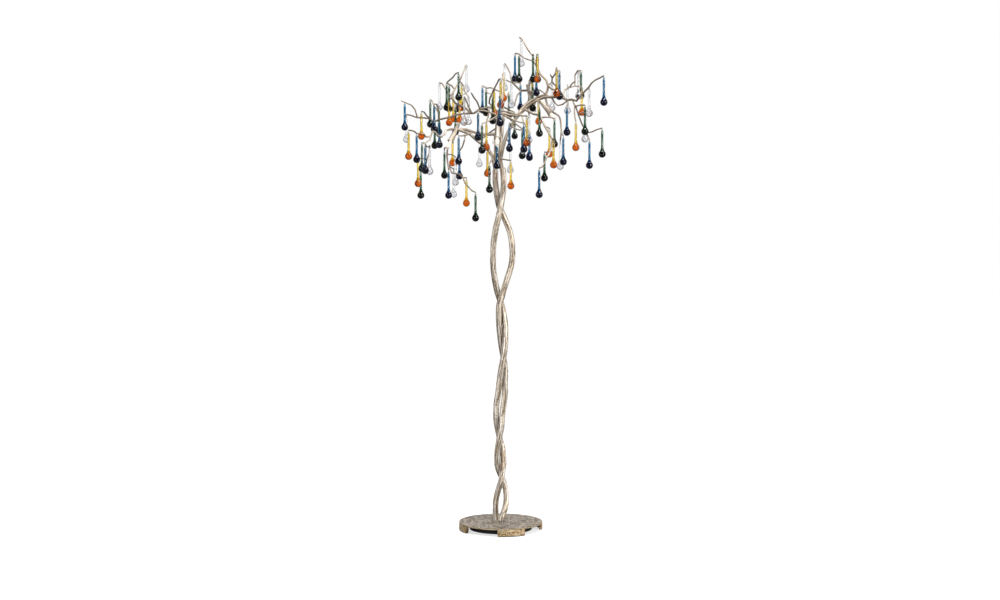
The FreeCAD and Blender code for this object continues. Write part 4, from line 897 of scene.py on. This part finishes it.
# %% Foot finish
foot_finish, tree, output = start_material("foot_gold")
place = object_place(tree)
pit_deep = kept_value(tree, "pit")
cloud = noise(tree, place, 70.0, detail=4.0, roughness=0.65)
speck = noise(tree, place, 150.0, detail=3.0, roughness=0.75)
gold = blend_colour(tree, span(tree, cloud, 0.38, 0.60), plain(0.80, 0.60, 0.36),
                    plain(0.42, 0.26, 0.095))
gold = blend_colour(tree, span(tree, speck, 0.52, 0.58), gold, plain(0.92, 0.80, 0.60))
gold = blend_colour(tree, span(tree, speck, 0.46, 0.40), gold, plain(0.22, 0.11, 0.03))
gold = blend_colour(tree, arithmetic(tree, "MULTIPLY", pit_deep, 0.9), gold,
                    plain(0.13, 0.06, 0.015))
principled(tree, output, {"Base Color": gold, "Metallic": 0.5,
                          "Roughness": span(tree, speck, 0.3, 0.7, 0.32, 0.55),
                          "Normal": bumped(tree, speck, *CAST_BUMP)})

# %% Disc and feet
DISC_VOXEL = 1.45 * MM
FOOT_VOXEL = 1.2 * MM
CAST_SMOOTHING = 2                 # rounds of softening, which take the sharpness off the corners


def cast_piece(name, node, voxel, finish, values):
    """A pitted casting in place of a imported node."""
    piece = welded_copy(name, node)
    remesh(piece, voxel, CAST_SMOOTHING)
    run_tree(piece, cast_tree, {"Finish": finish, **values})
    settle(piece)
    smooth_shaded(piece.data)
    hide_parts(node)
    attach(piece, "root")
    print(name, len(piece.data.polygons), "faces")


cast_piece("disc_casting", "base_disc", DISC_VOXEL, disc_finish,
           {"Wave height": 1.8 * MM, "Pit depth": 0.6 * MM, "Pit scale": 130.0})
cast_piece("feet_casting", "base_feet", FOOT_VOXEL, foot_finish,
           {"Wave height": 2.2 * MM, "Wave scale": 80.0, "Pit depth": 1.1 * MM,
            "Pit scale": 150.0})

# %% [markdown]
# ## Lamp cups and bulbs
#
# Five tapered cups of the same bark metal hold the bulbs. They are round, so turning an outline
# makes them, and the groove tree then roughens them. The cup's axis is the way its bulb pulls
# out, which the construction gives as a joint, so cup and bulb are both made upright and turned
# onto that axis. Behind its closed end each cup has a short neck that runs into the limb. The
# neck is only here: the construction has none, and its right cup stands 8 mm clear of its limb.

# %% Lamp axes
PIN_START = 29.7 * MM              # from a cup's closed end to the tips of its bulb's pins


def lamp_matrix(joint):
    """The place of one lamp: its closed end, turned so that +Z runs out of its mouth."""
    axis = Vector(joint["axis"]).normalized()
    points = np.array([vertex.co for vertex in nodes[joint["child"]].data.vertices])
    middle = Vector((points.min(0) + points.max(0)) / 2)
    along = points @ np.array(axis)
    foot = middle + axis * (along.min() - middle.dot(axis)) - axis * PIN_START
    return Matrix.Translation(foot) @ axis.to_track_quat("Z", "Y").to_matrix().to_4x4()


lamps = {joint["child"]: lamp_matrix(joint) for joint in frame["joints"]
         if joint["type"] == "slide"}
print(len(lamps), "lamps")

# %% Cups
# Radius and height from the closed end, in millimetres: up the outside, then down the inside.
# The part below 0 is the neck of filler that runs back into the limb.
CUP_OUTLINE = [(0, -23.5), (3.0, -23), (4.6, -20.5), (5.2, -14), (6.0, -6), (6.9, 1), (7.4, 8),
               (8.2, 20), (9.0, 30), (9.8, 40), (10.8, 49), (12.1, 54.5), (12.3, 55.8),
               (11.6, 56.2), (10.9, 55.2), (9.7, 50), (8.0, 43), (7.1, 40.2), (7.1, 36)]
CUP_SEGMENTS = 48
CUP_ROWS = 3                       # rows of faces between two points of the outline


def fine_outline(outline, rows):
    """More rings between the given ones, in metres."""
    points = []
    for (radius, height), (next_radius, next_height) in zip(outline, outline[1:]):
        for row in range(rows):
            share = row / rows
            points.append(((radius + (next_radius - radius) * share) * MM,
                           (height + (next_height - height) * share) * MM))
    points.append((outline[-1][0] * MM, outline[-1][1] * MM))
    return points


cup_outline = fine_outline(CUP_OUTLINE, CUP_ROWS) + [(0, CUP_OUTLINE[-1][1] * MM)]
cups = bmesh.new()
for matrix in lamps.values():
    cup = lathed(cup_outline, CUP_SEGMENTS)
    cup.transform(matrix)
    cup_mesh = bpy.data.meshes.new("cup")
    cup.to_mesh(cup_mesh)
    cup.free()
    cups.from_mesh(cup_mesh)
    bpy.data.meshes.remove(cup_mesh)
cup_piece = to_object(cups, "cups_bark")
smooth_shaded(cup_piece.data)
run_tree(cup_piece, bark_tree, {"Finish": bark_finish, "Groove depth": 0.35 * MM,
                                "Lump height": 0.9 * MM, "Turns": 2.2, "Run": 20.0})
settle(cup_piece)
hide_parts("lamp_cups")
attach(cup_piece, "root")
print("cups:", len(cup_piece.data.polygons), "faces")

# %% [markdown]
# A lit capsule bulb is a bright core in a thin glass skin, on two pins. The light is an emission
# just above white, so that the core reads as lit but keeps its round shape. The skin is slightly
# rough, which spreads the core's glow over it.

# %% Bulb finishes
bulb_skin, tree, output = start_material("bulb_glass")
principled(tree, output, {"Base Color": plain(0.84, 0.82, 0.80), "Roughness": 0.12, "IOR": 1.45,
                          "Transmission Weight": 1.0})

bulb_core, tree, output = start_material("bulb_light")
principled(tree, output, {"Base Color": plain(0.10, 0.09, 0.08), "Roughness": 0.5,
                          "Emission Color": plain(1.0, 0.94, 0.86), "Emission Strength": 1.15})

pin_metal, tree, output = start_material("bulb_pin")
place = object_place(tree)
scratch = noise(tree, place, 1500.0, detail=2.0)
principled(tree, output, {"Base Color": plain(0.6, 0.6, 0.6), "Metallic": 1.0,
                          "Roughness": span(tree, scratch, 0.3, 0.7, 0.25, 0.45)})

# %% Bulbs
# Radius and height from the lamp's closed end, in millimetres.
SKIN_OUTLINE = [(0, 40.3), (4.2, 40.4), (5.2, 41.2), (5.2, 47.5), (5.6, 49.4), (6.2, 51.5),
                (6.2, 79.0), (6.0, 81.2), (5.2, 83.2), (3.6, 84.8), (1.6, 85.4), (0, 85.5)]
CORE_OUTLINE = [(0, 53.0), (2.6, 53.4), (3.6, 55.0), (3.9, 60.0), (3.9, 74.0), (3.4, 77.0),
                (2.0, 78.6), (0, 79.0)]
PIN_OUTLINE = [(0, 29.8), (0.5, 29.9), (0.75, 30.4), (0.75, 41.0), (0, 41.1)]
PIN_ASIDE = 3.2 * MM
BULB_SEGMENTS = 24
PIN_SEGMENTS = 10
BULB_ROWS = 2
BULB_FINISHES = (bulb_skin, bulb_core, pin_metal)


def bulb_part(outline, segments, matrix, target, finish):
    """Add one turned part of a bulb to the target, in one of the bulb's finishes."""
    part = lathed(fine_outline(outline, BULB_ROWS), segments)
    part.transform(matrix)
    for face in part.faces:
        face.material_index = BULB_FINISHES.index(finish)
        face.smooth = True
    mesh = bpy.data.meshes.new("part")
    part.to_mesh(mesh)
    part.free()
    target.from_mesh(mesh)
    bpy.data.meshes.remove(mesh)


for node, matrix in lamps.items():
    build = bmesh.new()
    bulb_part(SKIN_OUTLINE, BULB_SEGMENTS, matrix, build, bulb_skin)
    bulb_part(CORE_OUTLINE, BULB_SEGMENTS, matrix, build, bulb_core)
    for side in (-1, 1):
        aside = matrix @ Matrix.Translation((side * PIN_ASIDE, 0, 0))
        bulb_part(PIN_OUTLINE, PIN_SEGMENTS, aside, build, pin_metal)
    bulb = to_object(build, node + "_lit")
    for finish in BULB_FINISHES:
        bulb.data.materials.append(finish)
    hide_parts(node)
    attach(bulb, node)
print("one bulb:", len(bulb.data.polygons), "faces")

# %% [markdown]
# ## What stays as packed
#
# The weight, cover, pads, screws, gland, sockets and leads have the right shape already. They
# are under the base or inside the tubes, and only need a finish of their own.

# %% Small finishes
def speckled(name, first, second, scale, metallic, rough_low, rough_high, bump):
    """A plain stuff with a fine variation of colour and gloss."""
    material, tree, output = start_material(name)
    place = object_place(tree)
    speck = noise(tree, place, scale, detail=3.0, roughness=0.6)
    colour = blend_colour(tree, span(tree, speck, 0.35, 0.65), first, second)
    principled(tree, output, {"Base Color": colour, "Metallic": metallic,
                              "Roughness": span(tree, speck, 0.3, 0.7, rough_low, rough_high),
                              "Normal": bumped(tree, speck, bump, 0.4 * MM)})
    return material


# Two shades, the speckle's scale, metallic, least and most roughness, and the bump's strength.
SMALL_FINISHES = {
    # The weight under the disc is black iron, and its near-black colour is also painted shade for the dark space
    # beneath the disc.
    "black_iron": speckled("black_iron", plain(0.012, 0.012, 0.012), plain(0.03, 0.03, 0.03),
                           260.0, 0.0, 0.55, 0.75, 0.4),
    "felt": speckled("felt", plain(0.03, 0.03, 0.03), plain(0.09, 0.09, 0.09), 1600.0, 0.0,
                     0.9, 1.0, 0.8),
    "fixings": speckled("fixings", plain(0.55, 0.55, 0.57), plain(0.42, 0.42, 0.43), 700.0, 1.0,
                        0.3, 0.5, 0.1),
    "black_plastic": speckled("black_plastic", plain(0.02, 0.02, 0.02), plain(0.035, 0.035, 0.035),
                              900.0, 0.0, 0.45, 0.6, 0.2),
    "white_plastic": speckled("white_plastic", plain(0.78, 0.78, 0.75), plain(0.70, 0.70, 0.67),
                              600.0, 0.0, 0.4, 0.55, 0.1),
    "lead_sheath": speckled("lead_sheath", plain(0.50, 0.40, 0.22), plain(0.42, 0.33, 0.17), 500.0,
                            0.0, 0.45, 0.6, 0.1),
    "ceramic": speckled("ceramic", plain(0.82, 0.80, 0.75), plain(0.74, 0.72, 0.66), 300.0, 0.0,
                        0.25, 0.4, 0.05),
}
slot_of = {part["node"]: part["material_slot"] for part in frame["record"]["subparts"]}
for node, item in nodes.items():
    finish = SMALL_FINISHES.get(slot_of[node])
    if finish:
        item.data.materials.clear()
        item.data.materials.append(finish)
        print(node, "in", finish.name)
